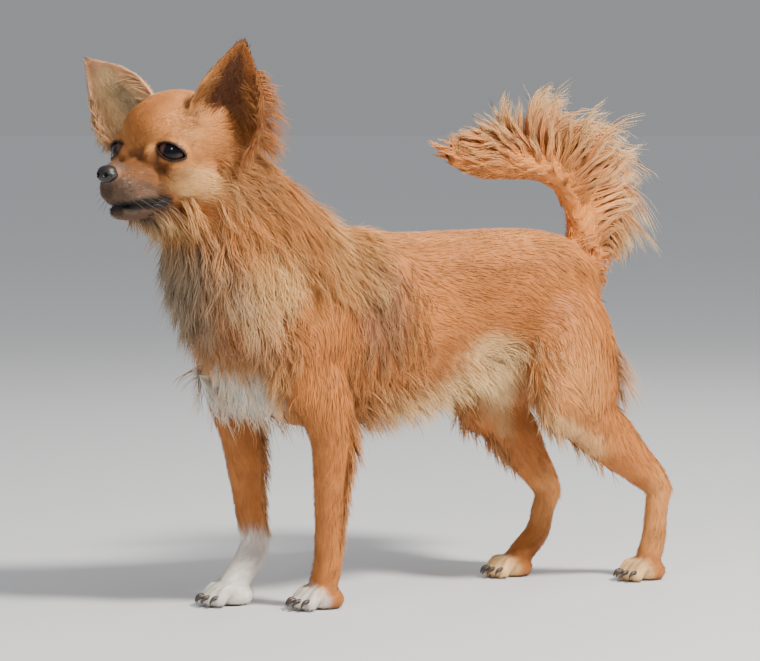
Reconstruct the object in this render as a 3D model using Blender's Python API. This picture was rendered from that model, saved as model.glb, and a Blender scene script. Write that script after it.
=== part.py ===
"""A long-haired chihuahua standing square, life size, as a still model.

The dog faces -X, its left side is -Y, and +Z is up. The origin is on the floor under the middle of its box.
"""

import math
import random

import bmesh
import bpy
from mathutils import Matrix, Vector
from mathutils.bvhtree import BVHTree

MM = 0.001

# Driving dimensions, in millimetres
GAP = 0.3
EYE_RADIUS = 9.0
EAR_LENGTH = 50
EAR_HALF_WIDTH = 21
EAR_THICKNESS = 1.6
EAR_ROOT = 6
EAR_SET_BACK = 4

# Linear colours
RED_COAT = (0.50, 0.22, 0.08, 1)
EYE_DARK = (0.02, 0.012, 0.01, 1)
NOSE_DARK = (0.03, 0.025, 0.025, 1)
CLAW_HORN = (0.10, 0.08, 0.07, 1)

# Torso, from the forechest to the rump: x, height of the middle, half width, half depth
TORSO = [
    (-139, 146, 16, 20),
    (-124, 147, 29, 38),
    (-98, 152, 38, 52),
    (-65, 158, 42, 57),
    (-28, 159, 41, 54),
    (10, 165, 38, 48),
    (46, 171, 34, 42),
    (76, 172, 34, 39),
    (96, 168, 30, 35),
    (110, 162, 20, 24),
]

# Tail, from the croup to the end of its last bone: x, z, half width, half depth
TAIL = [
    (100, 174, 15, 16),
    (112, 187, 13, 14),
    (113, 206, 11, 12),
    (110, 224, 10, 12),
    (100, 240, 9.5, 12),
    (82, 249, 9.5, 12),
    (58, 252, 9.5, 13),
    (36, 252, 8, 12),
    (14, 254, 4, 6),
]


def clear_scene():
    for thing in list(bpy.data.objects):
        bpy.data.objects.remove(thing)


def at(x, y, z):
    return Vector((x, y, z)) * MM


def object_from(name, bm):
    mesh = bpy.data.meshes.new(name)
    bm.to_mesh(mesh)
    bm.free()
    made = bpy.data.objects.new(name, mesh)
    bpy.context.scene.collection.objects.link(made)
    return made


def spline(rows, count):
    """Rows of numbers, read along a Catmull-Rom curve at count places."""
    last = len(rows) - 1
    found = []
    for step in range(count):
        t = step * last / (count - 1)
        i = min(int(t), last - 1)
        f = t - i
        read = []
        for p, q, r, s in zip(rows[max(i - 1, 0)], rows[i], rows[i + 1], rows[min(i + 2, last)]):
            square = 2 * p - 5 * q + 4 * r - s
            cube = 3 * q - p - 3 * r + s
            read.append(0.5 * (2 * q + (r - p) * f + square * f**2 + cube * f**3))
        found.append(read)
    return found


def tube(name, stations, rings=16, sides=16, turn=None):
    """A closed tube through stations of x, y, z, half width across and half depth, in millimetres."""
    rows = spline(stations, rings)
    centres = [Vector(row[:3]) for row in rows]
    bm = bmesh.new()
    for i, row in enumerate(rows):
        along = (centres[min(i + 1, rings - 1)] - centres[max(i - 1, 0)]).normalized()
        across = (Vector((0, 1, 0)) - along * along.y).normalized()
        deep = along.cross(across)
        frame = Matrix((across * row[3], deep * row[4], along)).transposed().to_4x4()
        frame.translation = centres[i]
        bmesh.ops.create_circle(bm, segments=sides, radius=1, matrix=frame)
    bmesh.ops.bridge_loops(bm, edges=bm.edges[:])
    bmesh.ops.holes_fill(bm, edges=bm.edges[:], sides=0)
    bmesh.ops.recalc_face_normals(bm, faces=bm.faces[:])
    bmesh.ops.scale(bm, vec=(MM, MM, MM), verts=bm.verts[:])
    if turn:
        bmesh.ops.transform(bm, matrix=turn, verts=bm.verts[:])
    return object_from(name, bm)


def ball(name, centre, radii, turn=None, subdivisions=3):
    """An ellipsoid, with its centre and half lengths in millimetres."""
    bm = bmesh.new()
    bmesh.ops.create_icosphere(bm, subdivisions=subdivisions, radius=1)
    bmesh.ops.scale(bm, vec=[r * MM for r in radii], verts=bm.verts[:])
    bmesh.ops.translate(bm, vec=at(*centre), verts=bm.verts[:])
    if turn:
        bmesh.ops.transform(bm, matrix=turn, verts=bm.verts[:])
    return object_from(name, bm)


def apply_modifiers(thing):
    graph = bpy.context.evaluated_depsgraph_get()
    mesh = bpy.data.meshes.new_from_object(thing.evaluated_get(graph))
    thing.modifiers.clear()
    thing.data = mesh
    return thing


def join(name, things):
    bm = bmesh.new()
    for thing in things:
        bm.from_mesh(thing.data)
        bpy.data.objects.remove(thing)
    return object_from(name, bm)


def copy_of(thing, name):
    made = bpy.data.objects.new(name, thing.data.copy())
    bpy.context.scene.collection.objects.link(made)
    return made


def combine(thing, operation, other, solver="EXACT"):
    """Applies one Boolean and removes its other object."""
    cut = thing.modifiers.new("combine", "BOOLEAN")
    cut.operation = operation
    cut.solver = solver
    cut.object = other
    apply_modifiers(thing)
    bpy.data.objects.remove(other)
    return keep_largest(thing)


def keep_largest(thing):
    """Drops every closed surface of the mesh but the one that holds most, also one that only touches it."""
    bm = bmesh.new()
    bm.from_mesh(thing.data)
    left = set(bm.faces)
    islands = []
    while left:
        found, front = set(), [left.pop()]
        while front:
            face = front.pop()
            found.add(face)
            for edge in face.edges:
                for other in edge.link_faces if len(edge.link_faces) == 2 else ():
                    if other in left:
                        left.discard(other)
                        front.append(other)
        islands.append(found)
    if len(islands) > 1:

        def holds(island):
            points = [v.co for face in island for v in face.verts]
            return math.prod(max(p[i] for p in points) - min(p[i] for p in points) for i in range(3))

        largest = max(islands, key=holds)
        bmesh.ops.delete(bm, geom=[f for f in bm.faces if f not in largest], context="FACES")
    bm.to_mesh(thing.data)
    bm.free()
    return thing


def fused(name, things, voxel=1.6, soften=3, keep=0.014):
    """One smooth closed surface round all the pieces."""
    body = join(name, things)
    remesh = body.modifiers.new("fuse", "REMESH")
    remesh.mode = "VOXEL"
    remesh.voxel_size = voxel * MM
    smooth = body.modifiers.new("soften", "SMOOTH")
    smooth.factor = 0.5
    smooth.iterations = soften
    thin = body.modifiers.new("thin", "DECIMATE")
    thin.ratio = keep
    return apply_modifiers(body)


def between(a, b, share):
    return tuple(p + (q - p) * share for p, q in zip(a, b))


# Head, in its own frame: the origin is midway between the eyes, and the nose points along -X
HEAD_PLACE = (-197, -5, 259)
HEAD = Matrix.Translation(at(*HEAD_PLACE)) @ Matrix.Rotation(math.radians(15), 4, "Z")
EYE_PLACE = (5.5, 17.5, 0)
GAZE_OUT = math.radians(24)
LID_THICKNESS = 1.5
NOSE_PLACE = (-28.5, 0, -11.5)
MOUTH_HEIGHT = -29
MOUTH_OPEN = 1.5


def head_flesh():
    parts = [
        ball("cranium", (26, 0, 5), (31, 29, 29), HEAD),
        ball("forehead", (11, 0, 10), (18, 21, 19), HEAD),
        ball("occiput", (42, 0, 2), (22, 25, 26), HEAD),
        tube(
            "muzzle",
            [
                (16, 0, -10, 18, 17),
                (2, 0, -13.5, 15.5, 13.5),
                (-10, 0, -16.5, 12.5, 11.5),
                (-19, 0, -18.5, 10.8, 10.5),
                (-25, 0, -19.5, 8.5, 9),
                (-29, 0, -20, 4.5, 5.5),
            ],
            turn=HEAD,
        ),
        tube(
            "jaw",
            [
                (34, 0, -19, 19, 12),
                (14, 0, -25, 16, 10),
                (-4, 0, -30, 11.5, 6.5),
                (-15, 0, -32, 8.8, 4.8),
                (-22, 0, -32, 5.5, 3.5),
            ],
            turn=HEAD,
        ),
        ball("nose_bed", (-25, 0, -13.5), (5.5, 6.5, 5.5), HEAD),
    ]
    for side in (-1, 1):
        parts.append(ball("cheek", (22, side * 16, -12), (20, 13, 15), HEAD))
        parts.append(ball("lip", (-9, side * 7.5, -24), (13, 5.5, 6), HEAD))
        parts.append(ball("whisker_pad", (-19, side * 5.2, -20), (7.5, 6, 7), HEAD))
        parts.append(ball("brow", (9, side * 15, 8.5), (9, 8, 6), HEAD))
        lid_place = (EYE_PLACE[0], side * EYE_PLACE[1], EYE_PLACE[2])
        parts.append(ball("lid", lid_place, [EYE_RADIUS + LID_THICKNESS] * 3, HEAD))
    for side, place in EARS.items():
        x, y, z = place["base"]
        parts.append(ball("ear_root", (x + 1, y * 0.86, z - 3), (13, 9, 14), HEAD))
        parts.append(ball("ear_root", (x + 4, y * 1.02, z - 15), (13, 9, 14), HEAD))
    return parts


def eye_opening(side):
    """The gap between the lids, longer from corner to corner than it is high."""
    sign = -1 if side == "left" else 1
    x, y, z = EYE_PLACE
    turn = Matrix.Translation(at(x, sign * y, z)) @ Matrix.Rotation(-sign * GAZE_OUT, 4, "Z")
    return ball("eye_opening", (-12, 0, -0.3), (10, 7.8, 6.4), HEAD @ turn)


def mouth_line(head, count=17):
    """A thin wedge along the line of the mouth, found on the head's own surface."""
    tree = BVHTree.FromObject(head, bpy.context.evaluated_depsgraph_get())
    bm = bmesh.new()
    loops = []
    for i in range(count):
        angle = math.radians(-118 + 236 * i / (count - 1))
        way = Vector((-math.cos(angle), math.sin(angle), 0))
        start = Vector((-8, 0, MOUTH_HEIGHT + 1.6 * (1 - math.cos(angle)) * 0.4))
        world = HEAD @ (start * MM)
        spot = tree.ray_cast(world, HEAD.to_3x3() @ way)[0]
        reach = (spot - world).length / MM
        deep = 2.2 * math.sin(math.pi * (i + 0.35) / (count - 0.3)) ** 0.5 + 0.4
        loop = []
        for out, up in ((reach - deep, 0), (reach + 3, -MOUTH_OPEN / 2), (reach + 3, MOUTH_OPEN / 2)):
            loop.append(bm.verts.new(HEAD @ ((start + way * out + Vector((0, 0, up))) * MM)))
        loops.append(loop)
    for here, there in zip(loops, loops[1:]):
        for j in range(3):
            bm.faces.new((here[j], here[(j + 1) % 3], there[(j + 1) % 3], there[j]))
    bm.faces.new(loops[0])
    bm.faces.new(loops[-1])
    bmesh.ops.recalc_face_normals(bm, faces=bm.faces[:])
    return object_from("mouth_line", bm)


def nostril(side):
    """A comma-shaped hole that opens forwards and curls out to the side."""
    x, y, z = NOSE_PLACE
    return tube(
        "nostril",
        [
            (x - 7.5, side * 2.0, z - 0.4, 1.2, 1.3),
            (x - 4.2, side * 2.8, z - 0.3, 1.3, 1.4),
            (x - 1.8, side * 3.6, z - 0.1, 0.7, 0.8),
        ],
        rings=5,
        sides=8,
        turn=HEAD,
    )


def neck_flesh():
    return [
        tube(
            "neck_core",
            [
                (-158, -3, 250, 27, 27),
                (-142, -2, 226, 36, 38),
                (-126, 0, 200, 42, 48),
                (-104, 0, 172, 42, 54),
                (-84, 0, 160, 34, 48),
            ],
        )
    ]


def torso_flesh():
    parts = [tube("trunk", [(x, 0, z, across, deep) for x, z, across, deep in TORSO], rings=24, sides=20)]
    for side in (-1, 1):
        parts.append(
            tube(
                "shoulder",
                [
                    (-66, side * 18, 200, 10, 12),
                    (-90, side * 29, 172, 14, 20),
                    (-114, side * 32, 142, 14, 18),
                    (-104, side * 35, 118, 12, 14),
                ],
            )
        )
    return parts


FORELEGS = {
    "left": dict(elbow=(-92, -35, 106), wrist=(-88, -24, 30), paw=(-90, -21, 8)),
    "right": dict(elbow=(-110, 34, 106), wrist=(-106, 25, 32), paw=(-124, 21, 8)),
}
HINDLEGS = {
    "left": dict(
        hip=(82, -24, 168),
        knee=(79, -37, 108),
        hock=(143, -35, 57),
        ankle=(141, -34, 26),
        paw=(136, -33, 8),
    ),
    "right": dict(
        hip=(82, 24, 168),
        knee=(72, 36, 106),
        hock=(109, 29, 52),
        ankle=(100, 27, 26),
        paw=(80, 25, 8),
    ),
}


def foreleg_flesh(side):
    joints = FORELEGS[side]
    elbow, wrist, paw = joints["elbow"], joints["wrist"], joints["paw"]
    sign = -1 if side == "left" else 1
    shoulder = (elbow[0] - 14, elbow[1] - 5 * sign, elbow[2] + 34)
    leg = tube(
        "foreleg",
        [
            (*shoulder, 12, 20),
            (*between(shoulder, elbow, 0.6), 13.5, 18),
            (*between(elbow, wrist, 0.1), 12, 14.5),
            (*between(elbow, wrist, 0.45), 9.5, 11.5),
            (*between(elbow, wrist, 0.8), 8.3, 9.6),
            (*wrist, 8.6, 9.4),
            (*between(wrist, paw, 0.55), 9, 9),
            (paw[0] - 2, paw[1], paw[2] + 1, 9, 8),
        ],
        rings=26,
        sides=14,
    )
    return [leg] + paw_flesh(paw, 1.0)


def thigh_flesh(side):
    hip, knee = HINDLEGS[side]["hip"], HINDLEGS[side]["knee"]
    return tube(
        "thigh",
        [
            (hip[0], hip[1] * 0.7, hip[2] + 14, 10, 18),
            (hip[0] - 1, hip[1] * 0.9, hip[2], 16, 27),
            (*between(hip, knee, 0.4), 18, 32),
            (*between(hip, knee, 0.8), 16, 33),
            (*between(hip, knee, 1.05), 12, 28),
            (knee[0] + 2, knee[1], knee[2] - 18, 8, 15),
        ],
        rings=20,
        sides=16,
    )


def hindleg_flesh(side):
    joints = HINDLEGS[side]
    knee, hock, ankle, paw = (joints[k] for k in ("knee", "hock", "ankle", "paw"))
    gaskin = tube(
        "gaskin",
        [
            (*between(knee, hock, -0.08), 10, 20),
            (*between(knee, hock, 0.35), 10.5, 18),
            (*between(knee, hock, 0.7), 8.8, 13),
            (*between(knee, hock, 0.95), 7.2, 10),
            (*between(knee, hock, 1.06), 6, 7),
        ],
        rings=16,
        sides=14,
    )
    shank = tube(
        "shank",
        [
            (hock[0] + 1, hock[1], hock[2] + 5, 5, 6),
            (hock[0] + 1, hock[1], hock[2] - 2, 7, 9),
            (*between(hock, ankle, 0.5), 7, 8),
            (*ankle, 7.4, 8.4),
            (*between(ankle, paw, 0.6), 8, 8.4),
            (paw[0], paw[1], paw[2] + 1, 8, 7),
        ],
        rings=18,
        sides=14,
    )
    return [gaskin, shank] + paw_flesh(paw, 0.95)


TOES = [(-1.5, 0.95), (-0.5, 1.12), (0.5, 1.12), (1.5, 0.95)]
TOE_REACH = 13.5
TOE_PITCH = 5.2


def toe_end(place, size, row, reach):
    x, y, _ = place
    return (x - reach * TOE_REACH * size, y + row * TOE_PITCH * size, 4.6)


def paw_flesh(place, size):
    """A palm and four arched toes, which point along -X."""
    x, y, _ = place
    parts = [ball("palm", (x + 2, y, 6), (11 * size, 10 * size, 8))]
    for row, reach in TOES:
        root = (x + 1, y + row * 4.2 * size, 9)
        knuckle = (x - 8 * size, y + row * 5.0 * size, 9.8)
        end = toe_end(place, size, row, reach)
        stations = [(*root, 3, 3.5), (*knuckle, 3.5 * size, 4.4), (*end, 3.1 * size, 3.8)]
        parts.append(tube("toe", stations, rings=6, sides=10))
        parts.append(ball("toe_end", end, (3.6 * size, 3.2 * size, 4.2)))
    return parts


def tail_flesh():
    return [tube("tail_core", [(x, 0, z, across, deep) for x, z, across, deep in TAIL], rings=30, sides=12)]


# Ears, in the head's frame: base, tip and the way the cup opens
EARS = {
    "left": dict(base=(36, -26, 15), tip=(31, -45, 60), opens=(-0.70, -0.71, 0.0)),
    "right": dict(base=(26, 26, 17), tip=(19, 61, 49), opens=(-1.0, -0.05, 0.1)),
}
EAR_BACK_EDGES = {"left": 1, "right": -1}
EAR_WIDTHS = [(0.0, 0.80), (0.15, 0.98), (0.35, 1.0), (0.6, 0.80), (0.8, 0.50), (0.93, 0.28), (1.0, 0.16)]


def ear_frame(side):
    place = EARS[side]
    base, tip = Vector(place["base"]), Vector(place["tip"])
    up = (tip - base).normalized()
    opens = Vector(place["opens"])
    opens = (opens - up * opens.dot(up)).normalized()
    frame = Matrix((up.cross(opens), opens, up)).transposed().to_4x4()
    frame.translation = base
    return HEAD @ Matrix.Diagonal((MM, MM, MM, 1)) @ frame


def ear_point(u, v):
    """A point of the ear's middle surface: u runs from base to tip, v from edge to edge."""
    rows = EAR_WIDTHS
    for (u0, w0), (u1, w1) in zip(rows, rows[1:]):
        if u <= u1:
            width = w0 + (w1 - w0) * (u - u0) / (u1 - u0)
            break
    bend = math.radians(78 - 42 * u)
    half = EAR_HALF_WIDTH * width
    radius = half / math.sin(bend)
    out = radius * (1 - math.cos(v * bend)) - EAR_SET_BACK * (1 - u)
    up = u * EAR_LENGTH * (1 - 0.06 * v * v) - EAR_ROOT * (1 - u)
    return Vector((radius * math.sin(v * bend), out, up))


def ear(side, rows=7, columns=6):
    bm = bmesh.new()
    bmesh.ops.create_grid(bm, x_segments=columns, y_segments=rows, size=1)
    for vert in bm.verts:
        u, v = (vert.co.y + 1) / 2, vert.co.x
        vert.co = ear_point(u, v)
    bmesh.ops.transform(bm, matrix=ear_frame(side), verts=bm.verts[:])
    made = object_from("ear_" + side, bm)
    wall = made.modifiers.new("wall", "SOLIDIFY")
    wall.thickness = EAR_THICKNESS * MM
    wall.offset = 0
    return apply_modifiers(made)


def eye(side, grow=0.0):
    sign = -1 if side == "left" else 1
    x, y, z = EYE_PLACE
    return ball("eye_" + side, (x, sign * y, z), [EYE_RADIUS + grow] * 3, HEAD, subdivisions=2)


def nose(grow=0.0):
    return ball("nose", NOSE_PLACE, (5.6 + grow, 6.4 + grow, 5.0 + grow), HEAD, subdivisions=2)


CLAW_LENGTH = 6
CLAW_RADIUS = 1.3


def claw(name, root, grow=0.0):
    """A curved claw that leaves the toe at root, forwards and down."""
    x, y, z = root
    return tube(
        name,
        [
            (x + 3 + grow, y, z + 0.8, CLAW_RADIUS + grow, CLAW_RADIUS + grow),
            (x - 1, y, z + 0.6, CLAW_RADIUS + grow, CLAW_RADIUS + grow),
            (x - 3.2, y, z - 0.9, 0.75 + grow, 0.75 + grow),
            (x - CLAW_LENGTH + 2.2, y, z - 2.8, 0.3 + grow, 0.3 + grow),
        ],
        rings=4,
        sides=6,
    )


def legs():
    for name, joints in FORELEGS.items():
        yield "foreleg_" + name, joints["paw"], 1.0
    for name, joints in HINDLEGS.items():
        yield "hindfoot_" + name, joints["paw"], 0.95


def claw_roots(paw, size):
    for number, (row, reach) in enumerate(TOES, 1):
        x, y, z = toe_end(paw, size, row, reach)
        yield number, (x - 3.2 * size, y, z + 0.6)


# Where the body is parted: planes as a point and a direction that points into the region
def cut_flat(bm, place, way):
    """Keeps what lies on the plane's side that way points to, and closes the cut."""
    pieces = bm.verts[:] + bm.edges[:] + bm.faces[:]
    cut = bmesh.ops.bisect_plane(bm, geom=pieces, plane_co=place, plane_no=way, clear_inner=True)
    edges = [e for e in cut["geom_cut"] if isinstance(e, bmesh.types.BMEdge)]
    bmesh.ops.holes_fill(bm, edges=edges, sides=0)


def region(name, planes, grow):
    """The space inside all the planes, moved out by grow millimetres, or in where grow is negative."""
    bm = bmesh.new()
    bmesh.ops.create_cube(bm, size=1.6)
    for point, inward in planes:
        way = Vector(inward).normalized()
        cut_flat(bm, at(*point) - way * grow * MM, way)
    bmesh.ops.recalc_face_normals(bm, faces=bm.faces[:])
    return object_from(name, bm)


HEAD_CUT = ((-146, -3, 231), (-0.55, 0, 0.83))
NECK_CUT = ((-98, 0, 182), (-0.747, 0, 0.667))
TAIL_CUTS = [
    ((110, 0, 191), (0.62, 0, 0.78)),
    ((111, 0, 234), (-0.35, 0, 0.94)),
    ((64, 0, 262), (-1, 0, 0)),
]
HOCK_CUT_ABOVE = 8


def flipped(plane):
    point, way = plane
    return point, tuple(-c for c in way)


def regions():
    found = {
        "head": [HEAD_CUT],
        "neck": [NECK_CUT, flipped(HEAD_CUT)],
        "tail_base": [TAIL_CUTS[0], flipped(TAIL_CUTS[1]), ((90, 0, 0), (1, 0, 0))],
        "tail_middle": [TAIL_CUTS[1], flipped(TAIL_CUTS[2]), ((60, 0, 0), (1, 0, 0))],
        "tail_tip": [TAIL_CUTS[2], ((0, 0, 235), (0, 0, 1)), ((-30, 0, 0), (1, 0, 0))],
    }
    for side, sign in (("left", -1), ("right", 1)):
        elbow = FORELEGS[side]["elbow"]
        found["foreleg_" + side] = [
            ((elbow[0], sign * 34, elbow[2] + 5), (0, sign * 0.6, -0.8)),
            ((0, sign * 13, 0), (0, sign, 0)),
            ((elbow[0] + 32, 0, 0), (-1, 0, 0)),
        ]
        knee, hock = Vector(HINDLEGS[side]["knee"]), Vector(HINDLEGS[side]["hock"])
        down_shin = (hock - knee).normalized()
        hock_cut = (hock - down_shin * HOCK_CUT_ABOVE, down_shin)
        found["hindleg_" + side] = [
            ((90, sign * 22, 150), (-0.05, sign * 0.8, -0.6)),
            ((0, sign * 3, 0), (0, sign, 0)),
            ((36, 0, 120), (0.92, 0, -0.38)),
            flipped(hock_cut),
        ]
        found["hindfoot_" + side] = [hock_cut, ((0, sign * 3, 0), (0, sign, 0))]
    return found


def parted(body):
    """The body's flesh as one node for each region, and the torso as what is left."""
    torso = copy_of(body, "torso")
    nodes = {"torso": torso}
    for name, planes in regions().items():
        node = copy_of(body, name)
        nodes[name] = combine(node, "INTERSECT", region("inside", planes, -GAP / 2))
        combine(torso, "DIFFERENCE", region("outside", planes, GAP / 2))
    bpy.data.objects.remove(body)
    return nodes


# Long hair, in flat locks that taper to their tips: shares of a lock's length, width and thickness
DOWN = Vector((0, 0, -1))
LOCK_SHARES = [0.0, 0.24, 0.56, 0.83, 1.0]
LOCK_WIDTHS = [0.6, 1.0, 0.85, 0.5]
LOCK_THICKNESS = [1.0, 0.9, 0.75, 0.5]
LOCK_DEPTH = 1.9
ROOT_SINK = 3.0
SKIN_CLEARANCE = 1.4
NODE_CLEARANCE = 0.45
FLOOR_CLEARANCE = 1.0
TRIES = 7
VARIATION = 0.12
SWING = 0.16

# Each kind of hair: length and width in millimetres, the angle it leaves the skin at, how far it bends over
# along its length, how far its tip stands off the body, and the nodes it may grow from
RUFF = dict(length=33, width=12, lift=16, bend=0.2, rise=2.5, only=("neck", "torso"))
CHEEK = dict(length=24, width=10, lift=18, bend=0.6, rise=4, only="head")
BEARD = dict(length=27, width=9, lift=52, bend=0.8, rise=4, only="head")
BELLY = dict(length=17, width=11, lift=40, bend=1.0, rise=1, only="torso")
FEATHER = dict(length=17, width=9, lift=24, bend=0.8, rise=1.2, only="foreleg")
CULOTTE = dict(length=27, width=11, lift=26, bend=0.8, rise=2, only="hindleg")
THIGH_FRONT = dict(length=26, width=10, lift=22, bend=0.5, rise=2, only="hindleg")
PLUME = dict(width=17, bend=0.6, rise=1, only="tail")
TAIL_UNDER = dict(length=18, width=10, lift=16, bend=0.2, rise=0.5, only="tail")
TAIL_END = dict(length=30, width=9, lift=6, bend=0.0, rise=0.3, only="tail")
EAR_FRINGE = {"left": dict(locks=6, length=26, width=7), "right": dict(locks=4, length=11, width=5)}
EAR_LOCK_DEPTH = 1.1
EAR_LOCK_NUDGE = Vector((1.4, 0, 1.0))


def lock_mesh(points, flats, width, depth, margin=0.0):
    """A ring of four corners at each point but the last, which is the tip."""
    bm = bmesh.new()
    rings = []
    for i, (point, flat) in enumerate(zip(points[:-1], flats)):
        along = (points[i + 1] - points[max(i - 1, 0)]).normalized()
        side = along.cross(flat).normalized()
        up = side.cross(along)
        half_width = LOCK_WIDTHS[i] * width / 2 + margin
        half_depth = LOCK_THICKNESS[i] * depth / 2 + margin
        corners = (side * half_width, up * half_depth, -side * half_width, -up * half_depth)
        rings.append([bm.verts.new((point + corner) * MM) for corner in corners])
    tip = bm.verts.new((points[-1] + (points[-1] - points[-2]).normalized() * margin) * MM)
    for here, there in zip(rings, rings[1:]):
        for j in range(4):
            bm.faces.new((here[j], here[(j + 1) % 4], there[(j + 1) % 4], there[j]))
    for j in range(4):
        bm.faces.new((rings[-1][j], rings[-1][(j + 1) % 4], tip))
    bm.faces.new(rings[0])
    bmesh.ops.recalc_face_normals(bm, faces=bm.faces[:])
    return bm


def tree_of(thing):
    bm = bmesh.new()
    bm.from_mesh(thing.data)
    tree = BVHTree.FromBMesh(bm)
    bm.free()
    return tree


class Coat:
    """Sets locks on the flesh, each clear of every node but its own."""

    def __init__(self, nodes):
        self.nodes = nodes
        self.trees = {name: tree_of(node) for name, node in nodes.items()}
        self.locks = {name: [] for name in nodes}
        self.draw = random.Random(11)

    def cast(self, centre, outward, far):
        """The node, place and normal where the body is met, coming in towards the centre."""
        found = None
        start = centre + outward * far
        for name, tree in self.trees.items():
            spot, normal, _, reach = tree.ray_cast(start * MM, -outward)
            if spot and (found is None or reach < found[3]):
                found = (name, spot / MM, normal, reach)
        return found

    def nearest(self, point):
        best = None
        for tree in self.trees.values():
            spot, normal, _, reach = tree.find_nearest(point * MM, 60 * MM)
            if spot and (best is None or reach < best[2]):
                best = (spot / MM, normal, reach)
        return best

    def path(self, spot, normal, lie, hair, length, rise, flat, towards):
        """The points of one lock: out of the skin at an angle, along the lie, then over to its bend."""
        lie = (lie - normal * lie.dot(normal)).normalized()
        lift = math.radians(hair["lift"])
        way = lie * math.cos(lift) + normal * math.sin(lift)
        points = [spot - normal * ROOT_SINK - way * 0.5]
        flats = [flat or normal]
        here = spot.copy()
        for before, share in zip(LOCK_SHARES, LOCK_SHARES[1:]):
            here = here + way * (share - before) * length
            near = self.nearest(here)
            clear = SKIN_CLEARANCE + rise * share
            if near and (here - near[0]).dot(near[1]) < clear:
                here = near[0] + near[1] * clear
            points.append(here)
            flats.append(flat or (near[1] if near else flats[-1]))
            way = (way + towards * hair["bend"] * (share - before)).normalized()
        return points, flats

    def is_clear(self, name, points, flats, width, depth):
        """Whether a lock made fatter by the clearance touches the floor or another node."""
        bm = lock_mesh(points, flats, width, depth, NODE_CLEARANCE)
        lowest = min(v.co.z for v in bm.verts)
        tree = BVHTree.FromBMesh(bm)
        bm.free()
        if lowest < FLOOR_CLEARANCE * MM:
            return False
        others = [other for other in self.trees if other != name]
        if any(tree.overlap(self.trees[other]) for other in others):
            return False
        return not any(tree.overlap(lock) for other in others for lock, _ in self.locks[other])

    def keep(self, name, points, flats, width, depth):
        bm = lock_mesh(points, flats, width, depth)
        tree = BVHTree.FromBMesh(bm)
        self.locks[name].append((tree, object_from("lock", bm)))

    def set(self, centre, outward, lie, hair, flat=None, towards=DOWN, far=90):
        """One lock where the line from the centre outward leaves the body, if a clear one fits."""
        met = self.cast(centre, outward.normalized(), far)
        if not met or not met[0].startswith(hair["only"]):
            return
        name, spot, normal, _ = met
        length = hair["length"] * self.draw.uniform(1 - VARIATION, 1 + VARIATION)
        width = hair["width"] * self.draw.uniform(1 - VARIATION, 1 + VARIATION)
        swing = self.draw.uniform(-SWING, SWING)
        for attempt in range(TRIES):
            turn = Matrix.Rotation(swing + 0.1 * attempt * (-1) ** attempt, 3, normal)
            rise = hair["rise"] + 0.5 * attempt
            reach = length * (1 - 0.05 * attempt)
            points, flats = self.path(spot, normal, turn @ lie, hair, reach, rise, flat, towards)
            if self.is_clear(name, points, flats, width, LOCK_DEPTH):
                self.keep(name, points, flats, width, LOCK_DEPTH)
                return

    def fuse(self):
        """Joins each node's locks to its flesh in one union."""
        for name, locks in self.locks.items():
            if not locks:
                continue
            group = bpy.data.collections.new("locks")
            bpy.context.scene.collection.children.link(group)
            for _, thing in locks:
                group.objects.link(thing)
            union = self.nodes[name].modifiers.new("union", "BOOLEAN")
            union.operation = "UNION"
            union.operand_type = "COLLECTION"
            union.collection = group
            union.solver = "MANIFOLD"
            apply_modifiers(self.nodes[name])
            for _, thing in locks:
                bpy.data.objects.remove(thing)
            bpy.data.collections.remove(group)
            keep_largest(self.nodes[name])


NECK_TOP = Vector((-160, -4, 250))
NECK_FOOT = Vector((-104, 0, 172))


def comb_ruff(coat, rows=7, around=13):
    """The ruff and mane: down the throat and the sides, and back over the withers."""
    axis = (NECK_FOOT - NECK_TOP).normalized()
    front = Vector((axis.z, 0, -axis.x)).normalized()
    for row in range(rows):
        centre = NECK_TOP.lerp(NECK_FOOT, (row + 0.5) / rows)
        for k in range(around):
            angle = 2 * math.pi * (k + 0.5 * (row % 2)) / around
            ahead = (1 + math.cos(angle)) / 2
            outward = front * math.cos(angle) + Vector((0, math.sin(angle), 0))
            lie = axis * 0.8 + DOWN * (0.15 + 0.3 * ahead)
            hair = dict(RUFF)
            hair["length"] += 6 * ahead
            hair["lift"] += 8 * ahead
            hair["bend"] += 0.4 * ahead
            hair["rise"] += 1.5 * ahead
            coat.set(centre, outward, lie, hair)


def comb_cheeks(coat, rows=2, around=9):
    """Hair behind the cheeks, lying back over the neck."""
    spin = HEAD.to_3x3()
    for row in range(rows):
        centre = HEAD @ (Vector((32 + 11 * row, 0, -6)) * MM) / MM
        for k in range(around):
            angle = math.radians(-98 + 196 * (k + 0.5 * (row % 2)) / (around - 0.5))
            outward = spin @ Vector((0, math.sin(angle), -math.cos(angle)))
            coat.set(centre, outward, spin @ Vector((0.8, 0, -0.5)), CHEEK, far=50)


def comb_beard(coat, rows=4):
    """Long hair that hangs from under the jaw over the throat."""
    spin = HEAD.to_3x3()
    for row in range(rows):
        for side in (-1, 0, 1) if row % 2 else (-0.5, 0.5):
            centre = HEAD @ (Vector((2 + 8 * row, 9 * side, -20)) * MM) / MM
            coat.set(centre, DOWN, spin @ Vector((1, 0.35 * side, 0)), BEARD, far=50)


def comb_belly(coat, first=-60, last=52, rows=10):
    """A fringe under the belly, hanging down and back."""
    for row in range(rows):
        x = first + (last - first) * row / (rows - 1)
        for side in (-1, 1):
            centre = Vector((x + 3 * side, side * 9, 150))
            flat = Vector((0.2, side * 0.9, 0.3))
            coat.set(centre, DOWN, Vector((1, side * 0.25, 0)), BELLY, flat=flat)


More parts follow.
